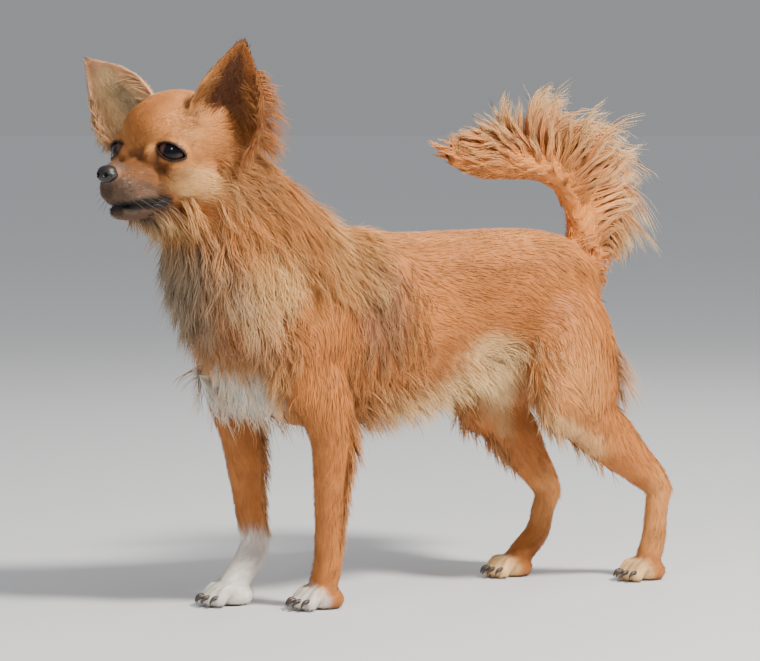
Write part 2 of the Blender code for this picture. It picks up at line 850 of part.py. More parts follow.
def comb_forelegs(coat, locks=8):
    """Feathering down the back of each foreleg, shorter towards the wrist."""
    for side, joints in FORELEGS.items():
        elbow, wrist = Vector(joints["elbow"]), Vector(joints["wrist"])
        flat = Vector((0.2, -1 if side == "left" else 1, 0)).normalized()
        for k in range(locks):
            hair = dict(FEATHER)
            hair["length"] -= 5 * k / locks
            centre = elbow.lerp(wrist, 0.9 * k / (locks - 1))
            coat.set(centre, Vector((1, 0.25 * (-1) ** k, 0)), DOWN, hair, flat=flat)


def comb_thighs(coat, locks=7):
    """Culottes behind each thigh, and the longer hair before it."""
    for side, joints in HINDLEGS.items():
        hip, knee = Vector(joints["hip"]), Vector(joints["knee"])
        sign = -1 if side == "left" else 1
        flat = Vector((0.35, sign, 0)).normalized()
        for k in range(locks):
            centre = hip.lerp(knee, 0.15 + 0.8 * k / (locks - 1))
            outward = Vector((1, sign * (0.15 - 0.4 * (k % 2)), 0))
            coat.set(centre, outward, DOWN, CULOTTE, flat=flat)
        for k in range(locks - 1):
            centre = hip.lerp(knee, 0.5 + 0.6 * k / (locks - 1))
            outward = Vector((-1, sign * (0.1 + 0.4 * (k % 2)), 0))
            coat.set(centre, outward, Vector((0.35, 0, -1)), THIGH_FRONT)


# Along the tail: share of its length, the plume's length and the angle it leaves the skin at
PLUME_SHAPE = [
    (0.0, 20, 50),
    (0.14, 42, 70),
    (0.32, 59, 88),
    (0.5, 54, 88),
    (0.64, 45, 62),
    (0.8, 31, 34),
    (1.0, 24, 20),
]


def read_off(table, share):
    """The table's values at a share between its rows."""
    for low, high in zip(table, table[1:]):
        if share <= high[0]:
            part_way = (share - low[0]) / (high[0] - low[0])
            return [a + (b - a) * part_way for a, b in zip(low[1:], high[1:])]
    return list(table[-1][1:])


CURL_MIDDLE = Vector((62, 0, 205))


def comb_tail(coat, rows=17, tip_locks=6):
    """The plume stands out from the outer side of the curl, and closes to a point past the last bone."""
    bones = [Vector((x, 0, z)) for x, z, _, _ in spline(TAIL, 60)]
    for row in range(rows):
        share = 0.1 + 0.84 * row / (rows - 1)
        i = int(share * 58)
        here = bones[i]
        along = (bones[i + 1] - here).normalized()
        out = here - CURL_MIDDLE
        out = (out - along * out.dot(along)).normalized()
        for spread in (-40, 0, 40) if row % 2 else (-20, 20):
            turn = math.radians(spread)
            outward = out * math.cos(turn) + Vector((0, math.sin(turn), 0))
            flat = (Vector((0, math.copysign(1, spread + 0.1), 0)) + out * 0.25).normalized()
            length, lift = read_off(PLUME_SHAPE, share)
            hair = dict(PLUME, length=length * (1 - abs(spread) / 160), lift=lift)
            coat.set(here, outward, along, hair, flat=flat, towards=along, far=60)
        if row % 3 == 2 and share > 0.3:
            coat.set(here, -out, along, TAIL_UNDER, far=25)
    along = (bones[-1] - bones[-9]).normalized()
    up = Vector((-along.z, 0, along.x))
    for k in range(tip_locks):
        angle = 2 * math.pi * k / tip_locks
        outward = up * math.cos(angle) + Vector((0, math.sin(angle), 0))
        coat.set(bones[-9], outward, along, TAIL_END, far=25)


def fringe_ears(coat):
    """Hair along the back edge of each ear, growing out of the edge itself."""
    for side, edge in EAR_BACK_EDGES.items():
        frame = ear_frame(side)
        name = "ear_" + side
        hair = EAR_FRINGE[side]
        for k in range(hair["locks"]):
            u = 0.08 + 0.1 * k
            rim = frame @ ear_point(u, edge) / MM
            inner = frame @ ear_point(u, edge * 0.72) / MM
            beside = frame @ ear_point(u + 0.05, edge) / MM
            way = (rim - inner).normalized()
            flat = way.cross(beside - rim).normalized()
            points = [inner, rim + way * 1.5]
            way = (way + DOWN * 0.5 + Vector((0.6, 0, 0))).normalized()
            length = hair["length"] * (1 - 0.8 * u)
            for share in (0.45, 0.75, 1.0):
                points.append(points[1] + way * length * share + DOWN * 4 * share * share)
            for attempt in range(TRIES):
                if coat.is_clear(name, points, [flat] * 4, hair["width"], EAR_LOCK_DEPTH):
                    coat.keep(name, points, [flat] * 4, hair["width"], EAR_LOCK_DEPTH)
                    break
                points = points[:2] + [p + EAR_LOCK_NUDGE for p in points[2:]]


def comb_all(nodes):
    coat = Coat(nodes)
    fringe_ears(coat)
    comb_cheeks(coat)
    comb_beard(coat)
    comb_ruff(coat)
    comb_belly(coat)
    comb_forelegs(coat)
    comb_thighs(coat)
    comb_tail(coat)
    coat.fuse()


def flat_footed(body):
    """Cuts the soles flat on the floor."""
    bm = bmesh.new()
    bm.from_mesh(body.data)
    cut_flat(bm, Vector((0, 0, 0)), Vector((0, 0, 1)))
    bm.to_mesh(body.data)
    bm.free()
    return body


def finish_of(name, colour, roughness):
    made = bpy.data.materials.new(name)
    made.use_nodes = True
    shader = made.node_tree.nodes["Principled BSDF"]
    shader.inputs["Base Color"].default_value = colour
    shader.inputs["Roughness"].default_value = roughness
    shader.inputs["Metallic"].default_value = 0
    return made


def whole_body():
    """The flesh in one closed surface: the bulk is blended softly, then the finer parts are fused to it."""
    bulk = neck_flesh() + torso_flesh() + [thigh_flesh(side) for side in HINDLEGS]
    pieces = [fused("bulk", bulk, voxel=2.6, soften=9, keep=1)] + head_flesh() + tail_flesh()
    for side in ("left", "right"):
        pieces += foreleg_flesh(side) + hindleg_flesh(side)
    return flat_footed(fused("body", pieces))


def centre_on_floor(things):
    """Moves everything so that the origin is under the middle of the box round it."""
    corners = [v.co for thing in things for v in thing.data.vertices]
    middle = [(min(c[i] for c in corners) + max(c[i] for c in corners)) / 2 for i in range(2)]
    for thing in things:
        thing.data.transform(Matrix.Translation((-middle[0], -middle[1], 0)))


def main():
    clear_scene()
    body = whole_body()
    nodes = parted(body)

    head = nodes["head"]
    combine(head, "DIFFERENCE", mouth_line(head))
    for side in ("left", "right"):
        combine(head, "DIFFERENCE", eye_opening(side))
        combine(head, "DIFFERENCE", eye(side, GAP))
        nodes["eye_" + side] = eye(side)
    combine(head, "DIFFERENCE", nose(GAP))
    nodes["nose"] = nose()
    for side in (-1, 1):
        combine(nodes["nose"], "DIFFERENCE", nostril(side))
    for side in ("left", "right"):
        grown = copy_of(head, "grown_head")
        swell = grown.modifiers.new("swell", "DISPLACE")
        swell.strength = GAP * MM
        swell.mid_level = 0
        nodes["ear_" + side] = combine(ear(side), "DIFFERENCE", apply_modifiers(grown))
    for leg, paw, size in legs():
        for number, root in claw_roots(paw, size):
            name = "claw_%s_%d" % (leg, number)
            combine(nodes[leg], "DIFFERENCE", claw("socket", root, GAP))
            nodes[name] = claw(name, root)

    comb_all(nodes)

    coat = finish_of("coat", RED_COAT, 0.75)
    others = {
        "eye": finish_of("eye", EYE_DARK, 0.08),
        "nose": finish_of("nose_leather", NOSE_DARK, 0.4),
        "claw": finish_of("claw_horn", CLAW_HORN, 0.35),
    }
    for name, node in nodes.items():
        node.name = name
        node.data.materials.clear()
        node.data.materials.append(others.get(name.split("_")[0], coat))
    centre_on_floor(nodes.values())


main()
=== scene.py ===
import math

import bmesh
import bpy
import numpy as np
from mathutils import Matrix, Vector
from mathutils.bvhtree import BVHTree


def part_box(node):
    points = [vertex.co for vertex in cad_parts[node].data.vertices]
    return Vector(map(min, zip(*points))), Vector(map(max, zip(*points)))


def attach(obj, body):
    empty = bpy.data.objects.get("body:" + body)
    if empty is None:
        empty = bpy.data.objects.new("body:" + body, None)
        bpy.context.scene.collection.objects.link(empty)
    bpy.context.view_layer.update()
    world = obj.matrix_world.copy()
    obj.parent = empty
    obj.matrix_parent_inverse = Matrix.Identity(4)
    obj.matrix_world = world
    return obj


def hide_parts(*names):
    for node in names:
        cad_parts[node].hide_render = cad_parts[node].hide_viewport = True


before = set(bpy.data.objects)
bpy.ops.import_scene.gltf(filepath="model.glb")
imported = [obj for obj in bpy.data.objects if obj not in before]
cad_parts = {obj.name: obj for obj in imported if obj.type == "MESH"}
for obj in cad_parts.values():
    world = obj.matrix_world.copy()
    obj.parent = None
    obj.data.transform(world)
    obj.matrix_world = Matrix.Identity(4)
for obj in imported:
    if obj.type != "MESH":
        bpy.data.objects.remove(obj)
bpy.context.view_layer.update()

# Where the dog stands.
# It is laid out in millimetres along its own spine, facing -X with its left side towards -Y, and then set
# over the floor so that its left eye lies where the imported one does.
MM = 0.001
HEAD_TURN = math.radians(15)
HEAD_PLACE = Vector((-197, -5, 259))
EYE_PLACE = Vector((5.5, 17.5, 0))

head_axes = Matrix.Rotation(HEAD_TURN, 4, "Z")
eye_low, eye_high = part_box("eye_left")
eye_design = HEAD_PLACE + head_axes @ Vector((EYE_PLACE.x, -EYE_PLACE.y, EYE_PLACE.z))
offset = (eye_low + eye_high) / 2 - eye_design * MM
offset.z = 0
DOG = Matrix.Translation(offset) @ Matrix.Scale(MM, 4)
HEAD = DOG @ Matrix.Translation(HEAD_PLACE) @ head_axes

# The studio: a pale floor and a soft key from above the dog's left flank, with a small fill, a rim and a
# broad ceiling light. The camera looks from the dog's left front, a little above its back.
VIEW_TURN = math.radians(35)
CAMERA_HEIGHT = 294
CAMERA_BACK = 2075.7
CAMERA_SIDE = 29.3
PIXELS_PER_UNIT = 3572
PICTURE_WIDTH = 760
PICTURE_HEIGHT = 661
HORIZON_ROW = 88
FLOOR_RADIUS = 20
# Each lamp: its place, what it is aimed at, its size, its watts and its colour
LAMPS = {
    "key": ((0.3, -1.2, 1.45), (-0.02, 0, 0.17), 0.34, 66, (1.0, 0.95, 0.87)),
    "fill": ((-1.25, -0.9, 0.95), (-0.05, 0, 0.18), 0.3, 4, (1.0, 0.98, 0.95)),
    "rim": ((0.9, 0.9, 1.1), (0.05, 0, 0.2), 0.6, 4.5, (1.0, 0.97, 0.92)),
}
CEILING_STRENGTH = 0.54
ROOM_STRENGTH = 0.38


def placed(name, data):
    """A new object of the scene, at the origin."""
    thing = bpy.data.objects.new(name, data)
    bpy.context.scene.collection.objects.link(thing)
    return thing


def object_of(name, bm):
    mesh = bpy.data.meshes.new(name)
    bm.to_mesh(mesh)
    bm.free()
    return placed(name, mesh)


def set_sockets(node, values):
    for socket, value in values.items():
        node.inputs[socket].default_value = value


def new_paint(name, finish):
    """A material, with its shader, nodes and links."""
    paint = bpy.data.materials.new(name)
    paint.use_nodes = True
    nodes = paint.node_tree.nodes
    shader = nodes["Principled BSDF"]
    set_sockets(shader, finish)
    return paint, shader, nodes, paint.node_tree.links


cosine, sine = math.cos(VIEW_TURN), math.sin(VIEW_TURN)
pitch = math.atan((PICTURE_HEIGHT / 2 - HORIZON_ROW) / PIXELS_PER_UNIT)
forward = Vector((sine * math.cos(pitch), cosine * math.cos(pitch), -math.sin(pitch)))
camera = placed("camera", bpy.data.cameras.new("camera"))
bpy.context.scene.camera = camera
camera.location = DOG @ Vector(
    (-CAMERA_SIDE * cosine - CAMERA_BACK * sine, CAMERA_SIDE * sine - CAMERA_BACK * cosine, CAMERA_HEIGHT)
)
camera.rotation_euler = forward.to_track_quat("-Z", "Y").to_euler()
camera.data.sensor_width = 36
camera.data.lens = PIXELS_PER_UNIT / PICTURE_WIDTH * camera.data.sensor_width
camera.data.clip_start = 0.1

ground = bmesh.new()
bmesh.ops.create_circle(ground, cap_ends=True, segments=96, radius=FLOOR_RADIUS)
floor = object_of("floor", ground)
floor_paint = new_paint("floor_paint", {"Base Color": (0.69, 0.70, 0.72, 1), "Roughness": 0.85})[0]
floor.data.materials.append(floor_paint)

for name, (place, aim, size, watts, colour) in LAMPS.items():
    light = placed(name, bpy.data.lights.new(name, "AREA"))
    light.data.shape = "DISK"
    light.data.size = size
    light.data.energy = watts
    light.data.color = colour
    light.location = place
    light.rotation_euler = (Vector(aim) - Vector(place)).to_track_quat("-Z", "Y").to_euler()
ceiling = placed("ceiling", bpy.data.lights.new("ceiling", "SUN"))
ceiling.data.energy = CEILING_STRENGTH
ceiling.data.angle = math.radians(60)
ceiling.rotation_euler = (math.radians(20), math.radians(10), 0)
room = bpy.data.worlds.new("room")
bpy.context.scene.world = room
room.use_nodes = True
room_light = {"Color": (0.80, 0.82, 0.85, 1), "Strength": ROOM_STRENGTH}
set_sockets(room.node_tree.nodes["Background"], room_light)

# The dog's flesh, under the coat. Muscle and bone are drawn as tapering tubes and ovals, blended into one
# closed skin with the ears on it. The skin lies under the coat's surface by the depth of the coat there.
# Torso and tail: x, z, half width across and half depth. Neck: the same, after x, y and z
TORSO = [
    (-139, 146, 16, 20),
    (-124, 147, 29, 38),
    (-98, 152, 38, 52),
    (-65, 158, 42, 57),
    (-28, 159, 41, 54),
    (10, 165, 38, 48),
    (46, 171, 34, 42),
    (76, 172, 34, 39),
    (96, 168, 30, 35),
    (110, 162, 20, 24),
]
TAIL = [
    (100, 174, 15, 16),
    (112, 187, 13, 14),
    (113, 206, 11, 12),
    (110, 224, 10, 12),
    (100, 240, 9.5, 12),
    (82, 249, 9.5, 12),
    (58, 252, 9.5, 13),
    (36, 252, 8, 12),
    (14, 254, 4, 6),
]
NECK = [
    (-158, -3, 250, 27, 27),
    (-142, -2, 226, 36, 38),
    (-126, 0, 200, 42, 48),
    (-104, 0, 172, 42, 54),
    (-84, 0, 160, 34, 48),
]
FORELEGS = {
    -1: dict(elbow=(-92, -35, 106), wrist=(-88, -24, 30), paw=(-90, -21, 8)),
    1: dict(elbow=(-110, 34, 106), wrist=(-106, 25, 32), paw=(-124, 21, 8)),
}
HINDLEGS = {
    -1: dict(
        hip=(82, -24, 168), knee=(79, -37, 108), hock=(143, -35, 57), ankle=(141, -34, 26), paw=(136, -33, 8)
    ),
    1: dict(
        hip=(82, 24, 168), knee=(72, 36, 106), hock=(109, 29, 52), ankle=(100, 27, 26), paw=(80, 25, 8)
    ),
}
# Each toe: its place across the foot, in toe widths, and its share of the reach
TOES = [(-1.5, 0.95), (-0.5, 1.12), (0.5, 1.12), (1.5, 0.95)]
TOE_REACH = 13.5
TOE_PITCH = 5.2
FOOT_SIZES = {"foreleg": 1.0, "hindfoot": 0.95}
BULK_VOXEL = 2.6
SOFTEN_STEPS = 9
flesh = bmesh.new()
streams = []


def spline(rows, count):
    """Rows of numbers, read along a Catmull-Rom curve at count places."""
    rows = np.array(rows, float)
    t = np.linspace(0, len(rows) - 1, count)
    i = np.minimum(t.astype(int), len(rows) - 2)
    f = (t - i)[:, None]
    p, q, r, s = (rows[np.clip(i + k, 0, len(rows) - 1)] for k in (-1, 0, 1, 2))
    square = 2 * p - 5 * q + 4 * r - s
    cube = 3 * q - p - 3 * r + s
    return 0.5 * (2 * q + (r - p) * f + square * f**2 + cube * f**3)


def tube(bm, stations, rings=40, sides=24, place=DOG):
    """A closed tube through stations of x, y, z, half width across and half depth."""
    rows = spline(stations, rings)
    circles = bmesh.new()
    for i, row in enumerate(rows):
        along = Vector(rows[min(i + 1, rings - 1), :3] - rows[max(i - 1, 0), :3]).normalized()
        across = (Vector((0, 1, 0)) - along * along.y).normalized()
        deep = along.cross(across)
        ring = Matrix((across * row[3], deep * row[4], along)).transposed().to_4x4()
        ring.translation = row[:3]
        bmesh.ops.create_circle(circles, segments=sides, radius=1, matrix=place @ ring)
    bmesh.ops.bridge_loops(circles, edges=circles.edges[:])
    bmesh.ops.holes_fill(circles, edges=circles.edges[:], sides=0)
    bmesh.ops.recalc_face_normals(circles, faces=circles.faces[:])
    spare = bpy.data.meshes.new("spare")
    circles.to_mesh(spare)
    circles.free()
    bm.from_mesh(spare)
    bpy.data.meshes.remove(spare)


def ball(bm, centre, radii, place=DOG, subdivisions=4):
    """An oval with its centre and half lengths."""
    form = place @ Matrix.Translation(centre) @ Matrix.Diagonal((*radii, 1))
    bmesh.ops.create_icosphere(bm, subdivisions=subdivisions, radius=1, matrix=form)


def between(a, b, share):
    """The place that lies this share of the way from a to b."""
    return tuple(p + (q - p) * share for p, q in zip(a, b))


def stream(stations, way=1, place=None, count=24, drop=0.0):
    """Remembers which way the coat lies along a line of the body."""
    rows = spline([row[:3] for row in stations], count)
    tangents = np.gradient(rows, axis=0) * way
    if place:
        turn = np.array(place.to_3x3())
        rows = rows @ turn.T + np.array(place.translation)
        tangents = tangents @ turn.T
    tangents /= np.linalg.norm(tangents, axis=1)[:, None]
    tangents[:, 2] -= drop
    streams.append((rows, tangents))


def finished(thing):
    """Applies the piece's modifiers."""
    graph = bpy.context.evaluated_depsgraph_get()
    mesh = bpy.data.meshes.new_from_object(thing.evaluated_get(graph))
    thing.modifiers.clear()
    thing.data = mesh
    return thing


def blended(thing, voxel):
    """Fuses the piece into one closed surface and softens it."""
    remesh = thing.modifiers.new("fuse", "REMESH")
    remesh.mode = "VOXEL"
    remesh.voxel_size = voxel * MM
    smooth = thing.modifiers.new("soften", "SMOOTH")
    smooth.factor = 0.5
    smooth.iterations = SOFTEN_STEPS
    return finished(thing)


def cut_away(thing, tool):
    """Takes the tool's space out of the piece."""
    cut = thing.modifiers.new("cut", "BOOLEAN")
    cut.operation = "DIFFERENCE"
    cut.solver = "MANIFOLD"
    cut.object = tool
    finished(thing)
    bpy.data.objects.remove(tool)


bulk = bmesh.new()
tube(bulk, NECK)
tube(bulk, [(x, 0, z, across, deep) for x, z, across, deep in TORSO], rings=60, sides=40)
for side in (-1, 1):
    shoulder = [
        (-66, side * 18, 200, 10, 12),
        (-90, side * 29, 172, 14, 20),
        (-114, side * 32, 142, 14, 18),
        (-104, side * 35, 118, 12, 14),
    ]
    tube(bulk, shoulder)
    hip, knee = HINDLEGS[side]["hip"], HINDLEGS[side]["knee"]
    thigh = [
        (hip[0], hip[1] * 0.7, hip[2] + 14, 10, 18),
        (hip[0] - 1, hip[1] * 0.9, hip[2], 16, 27),
        (*between(hip, knee, 0.4), 18, 32),
        (*between(hip, knee, 0.8), 16, 33),
        (*between(hip, knee, 1.05), 12, 28),
        (knee[0] + 2, knee[1], knee[2] - 18, 8, 15),
    ]
    tube(bulk, thigh)
    stream([(x + 12, y * 1.3, z) for x, y, z, _, _ in thigh], drop=0.1)
    stream([(-66, side * 40, 195), (-85, side * 44, 165), (-95, side * 44, 130)], drop=0.3)
for y, rise, drop in ((-30, 10, 0.4), (30, 10, 0.4), (0, 45, 0.0), (0, -45, 0.4)):
    stream([(x, y, z + rise) for x, z, _, _ in TORSO[2:]], drop=drop)
stream(NECK, drop=0.35)
body_bulk = blended(object_of("bulk", bulk), BULK_VOXEL)
flesh.from_mesh(body_bulk.data)
bpy.data.objects.remove(body_bulk)

tube(flesh, [(x, 0, z, across, deep) for x, z, across, deep in TAIL], rings=60)
stream([(x, 0, z) for x, z, _, _ in TAIL], count=40)


def paw(bm, place, size):
    """A rounded foot with four toes, each a short tube that ends in a ball."""
    x, y, _ = place
    ball(bm, (x + 2, y, 6), (11 * size, 10 * size, 8))
    for row, reach in TOES:
        end = (x - reach * TOE_REACH * size, y + row * TOE_PITCH * size, 4.6)
        knuckle = (x - 8 * size, y + row * 5.0 * size, 9.8)
        toe = [(x + 1, y + row * 4.2 * size, 9, 3, 3.5), (*knuckle, 3.3 * size, 4.2), (*end, 2.9 * size, 3.6)]
        tube(bm, toe, rings=14, sides=16)
        ball(bm, end, (3.5 * size, 3.0 * size, 4.2))
    stream([(x + 6, y, 14), (x - 4, y, 12), (x - 14, y, 6)], drop=0.2)


for side, joints in FORELEGS.items():
    elbow, wrist, foot = joints["elbow"], joints["wrist"], joints["paw"]
    shoulder = (elbow[0] - 14, elbow[1] - 5 * side, elbow[2] + 34)
    foreleg = [
        (*shoulder, 12, 20),
        (*between(shoulder, elbow, 0.6), 13.5, 18),
        (*between(elbow, wrist, 0.1), 12, 14.5),
        (*between(elbow, wrist, 0.45), 9.5, 11.5),
        (*between(elbow, wrist, 0.8), 8.3, 9.6),
        (*wrist, 8.6, 9.4),
        (*between(wrist, foot, 0.55), 9, 9),
        (foot[0] - 2, foot[1], foot[2] + 1, 9, 8),
    ]
    tube(flesh, foreleg, rings=50)
    stream(foreleg)
    paw(flesh, foot, FOOT_SIZES["foreleg"])
for side, joints in HINDLEGS.items():
    knee, hock, ankle, foot = (joints[k] for k in ("knee", "hock", "ankle", "paw"))
    gaskin = [
        (*between(knee, hock, -0.08), 10, 20),
        (*between(knee, hock, 0.35), 10.5, 18),
        (*between(knee, hock, 0.7), 8.8, 13),
        (*between(knee, hock, 0.95), 7.2, 10),
        (*between(knee, hock, 1.06), 6, 7),
    ]
    shank = [
        (hock[0] + 1, hock[1], hock[2] + 5, 5, 6),
        (hock[0] + 1, hock[1], hock[2] - 2, 7, 9),
        (*between(hock, ankle, 0.5), 7, 8),
        (*ankle, 7.4, 8.4),
        (*between(ankle, foot, 0.6), 8, 8.4),
        (foot[0], foot[1], foot[2] + 1, 8, 7),
    ]
    tube(flesh, gaskin, rings=30)
    tube(flesh, shank, rings=36)
    stream(gaskin)
    stream(shank)
    paw(flesh, foot, FOOT_SIZES["hindfoot"])

# The head, drawn in its own axes: midway between the eyes is the origin and the nose points along -X.
# A round skull, full cheeks and a short fine muzzle, with lips that meet over a small chin.
SKULL = Matrix.Translation(HEAD_PLACE) @ head_axes
EYE_RADIUS = 9.0
LID_THICKNESS = 1.5
ball(flesh, (26, 0, 5), (31, 29, 29), HEAD)
ball(flesh, (11, 0, 10), (18, 21, 19), HEAD)
ball(flesh, (42, 0, 2), (22, 25, 26), HEAD)
muzzle = [
    (16, 0, -10, 18, 17),
    (2, 0, -13.5, 15.5, 13.5),
    (-10, 0, -16.5, 12.5, 11.5),
    (-19, 0, -18.5, 10.8, 10.5),
    (-25, 0, -19.5, 8.5, 9),
    (-29, 0, -20, 4.5, 5.5),
]
jaw = [
    (34, 0, -19, 19, 12),
    (14, 0, -25, 16, 10),
    (-4, 0, -30, 11.5, 6.5),
    (-15, 0, -32, 8.8, 4.8),
    (-22, 0, -32, 5.5, 3.5),
]
tube(flesh, muzzle, rings=50, sides=40, place=HEAD)
tube(flesh, jaw, rings=40, sides=32, place=HEAD)
ball(flesh, (-22.6, 0, -12.3), (8.8, 7.4, 7.4), HEAD)
# Centre and half lengths of the cheeks, flews, lip pads, brows, the bone under and behind each eye, and the
# bridge of the muzzle
FACE_FORMS = [
    ((22, 16, -12), (20, 13, 15)),
    ((-9, 7.5, -24), (13, 5.5, 6)),
    ((-18.5, 5.8, -20.3), (8, 6.2, 7.2)),
    ((9, 15.5, 8), (10, 9, 6.5)),
    ((9, 19.5, -8.5), (12, 8, 7.5)),
    ((16, 22, -1), (9, 6, 8)),
    ((-1, 8.5, -3), (8, 6, 8)),
]
CHEEK_LINE = [(-22, 8, -16), (-8, 13, -14), (6, 20, -12), (20, 28, -12), (34, 30, -14), (46, 28, -22)]
TEMPLE_LINE = [(2, 12, 8), (8, 20, 12), (18, 26, 14), (32, 26, 14)]
JAW_LINE = [(-22, 3, -34), (-8, 8, -35), (10, 12, -36), (40, 14, -38)]
FOREHEAD_LINE = [
    (-24, 0, -10), (-12, 0, -9), (-2, 0, -2), (4, 0, 12), (14, 0, 26), (28, 0, 34), (44, 0, 31), (58, 0, 22),
    (68, 0, 8),
]
for side in (-1, 1):
    for (x, y, z), radii in FACE_FORMS:
        ball(flesh, (x, side * y, z), radii, HEAD)
    ball(flesh, (EYE_PLACE.x, side * EYE_PLACE.y, EYE_PLACE.z), [EYE_RADIUS + LID_THICKNESS] * 3, HEAD)
    for line in (CHEEK_LINE, TEMPLE_LINE, JAW_LINE):
        stream([(x, side * y, z) for x, y, z in line], place=SKULL)
    stream(FOREHEAD_LINE, place=SKULL)

# The ears: thin leather cups, wide at the base and drawn to a soft point, that stand out from the skull.
# The left one is turned to the side and the right one faces ahead.
EARS = {
    -1: dict(base=(36, -26, 15), tip=(31, -45, 60), opens=(-0.70, -0.71, 0.0)),
    1: dict(base=(26, 26, 17), tip=(19, 61, 49), opens=(-1.0, -0.05, 0.1)),
}
# Each width: the share of the ear's length and the share of its half width
EAR_WIDTHS = [(0.0, 0.80), (0.15, 0.98), (0.35, 1.0), (0.6, 0.80), (0.8, 0.50), (0.93, 0.28), (1.0, 0.16)]
EAR_LENGTH = 50
EAR_HALF_WIDTH = 21
EAR_WALL = 1.9
LINES_ACROSS = 13
POINTS_ALONG = 16
ear_shares, ear_spreads = zip(*EAR_WIDTHS)


def ear_frame(side):
    """The ear's own axes: Z runs to its tip and Y comes out of its cup."""
    base, tip = Vector(EARS[side]["base"]), Vector(EARS[side]["tip"])
    up = (tip - base).normalized()
    opens = Vector(EARS[side]["opens"])
    opens = (opens - up * opens.dot(up)).normalized()
    axes = Matrix((up.cross(opens), opens, up)).transposed().to_4x4()
    axes.translation = base
    return SKULL @ axes


def ear_point(u, v):
    """A point of the ear's middle surface: u runs from base to tip and v from edge to edge."""
    bend = math.radians(78 - 42 * u)
    radius = EAR_HALF_WIDTH * np.interp(u, ear_shares, ear_spreads) / math.sin(bend)
    out = radius * (1 - math.cos(v * bend)) - 4 * (1 - u)
    return Vector((radius * math.sin(v * bend), out, u * EAR_LENGTH * (1 - 0.06 * v * v) - 6 * (1 - u)))


ear_lines = {}
for side, place in EARS.items():
    x, y, z = place["base"]
    ball(flesh, (x + 1, y * 0.86, z - 3), (13, 9, 14), HEAD)
    ball(flesh, (x + 4, y * 1.02, z - 15), (13, 9, 14), HEAD)
    cup = bmesh.new()
    bmesh.ops.create_grid(cup, x_segments=40, y_segments=48, size=1)
    for vert in cup.verts:
        vert.co = ear_point((vert.co.y + 1) / 2, vert.co.x)
    bmesh.ops.transform(cup, matrix=DOG @ ear_frame(side), verts=cup.verts[:])
    shell = object_of("shell", cup)
    wall = shell.modifiers.new("wall", "SOLIDIFY")
    wall.thickness = EAR_WALL * MM
    wall.offset = 0
    flesh.from_mesh(finished(shell).data)
    bpy.data.objects.remove(shell)
    ear_lines[side] = [
        [ear_frame(side) @ ear_point(u, v) for u in np.linspace(0, 1, POINTS_ALONG)]
        for v in np.linspace(-1, 1, LINES_ACROSS)
    ]
    for line in ear_lines[side][1::3]:
        stream([tuple(point) for point in line], count=12)

# The skin: one surface over flesh, head and ears, with the sockets, lids and the line of the mouth cut in.
# It is fine over the face and coarser where the coat hides it.
SKIN_VOXEL = 0.9
SKIN_KEEP = 0.3
FINENESS_STEPS = 10
MOUTH_HEIGHT = -29
MOUTH_OPEN = 0.8
MOUTH_TURN = 131
MOUTH_CORNER_LIFT = 0.64
LIP_DEPTH = 2.2
GAZE_OUT = math.radians(24)
LID_TILT = math.radians(-19)
LID_POINTS = 48
LID_HALF_WIDTH = 8.4
UPPER_LID, LOWER_LID = 4.2, 4.0
LID_CUT_FROM, LID_CUT_TO = -14, -2.5
SOCKET_CLEARANCE = 0.15


def ease(value, low, high):
    """Nothing at low and one at high, with a smooth run between."""
    t = np.clip((value - low) / (high - low), 0, 1)
    return t * t * (3 - 2 * t)


def read_points(mesh, key="co"):
    found = np.empty(len(mesh.vertices) * 3, np.float32)
    mesh.vertices.foreach_get(key, found)
    return found.reshape(-1, 3).astype(float)


def turn_of(axes):
    return np.array(axes.to_3x3())


def to_design(points):
    """From the scene's metres to the dog's own millimetres."""
    return (points - np.array(offset)) / MM


def to_skull(points):
    """From the dog's own millimetres to the head's axes."""
    return (points - np.array(HEAD_PLACE)) @ turn_of(head_axes)


def smooth_shaded(thing):
    thing.data.polygons.foreach_set("use_smooth", np.ones(len(thing.data.polygons), bool))


def mouth_wedge(count=61):
    """A thin wedge that opens between the lips, found on the face's own surface."""
    tree = BVHTree.FromObject(skin, bpy.context.evaluated_depsgraph_get())
    bm = bmesh.new()
    loops, line = [], []
    for i in range(count):
        angle = math.radians(-MOUTH_TURN + 2 * MOUTH_TURN * i / (count - 1))
        way = Vector((-math.cos(angle), math.sin(angle), 0))
        start = Vector((-8, 0, MOUTH_HEIGHT + MOUTH_CORNER_LIFT * (1 - math.cos(angle))))
        world = HEAD @ start
        met = tree.ray_cast(world, (HEAD.to_3x3() @ way).normalized())[0]
        reach = (met - world).length / MM
        line.append(start + way * reach)
        deep = LIP_DEPTH * math.sin(math.pi * (i + 0.35) / (count - 0.3)) ** 0.5 + 0.4
        corners = ((reach - deep, 0), (reach + 3, -MOUTH_OPEN / 2), (reach + 3, MOUTH_OPEN / 2))
        loops.append([bm.verts.new(HEAD @ (start + way * out + Vector((0, 0, up)))) for out, up in corners])
    for near, far in zip(loops, loops[1:]):
        for j in range(3):
            bm.faces.new((near[j], near[(j + 1) % 3], far[(j + 1) % 3], far[j]))
    bm.faces.new(loops[0])
    bm.faces.new(loops[-1])
    bmesh.ops.recalc_face_normals(bm, faces=bm.faces[:])
    return object_of("mouth_wedge", bm), np.array(line)


def eye_frame(side):
    """The eye's own axes, in the head's: it looks along -X."""
    turn = Matrix.Rotation(-side * GAZE_OUT, 4, "Z") @ Matrix.Rotation(side * LID_TILT, 4, "X")
    return Matrix.Translation((EYE_PLACE.x, side * EYE_PLACE.y, EYE_PLACE.z)) @ turn


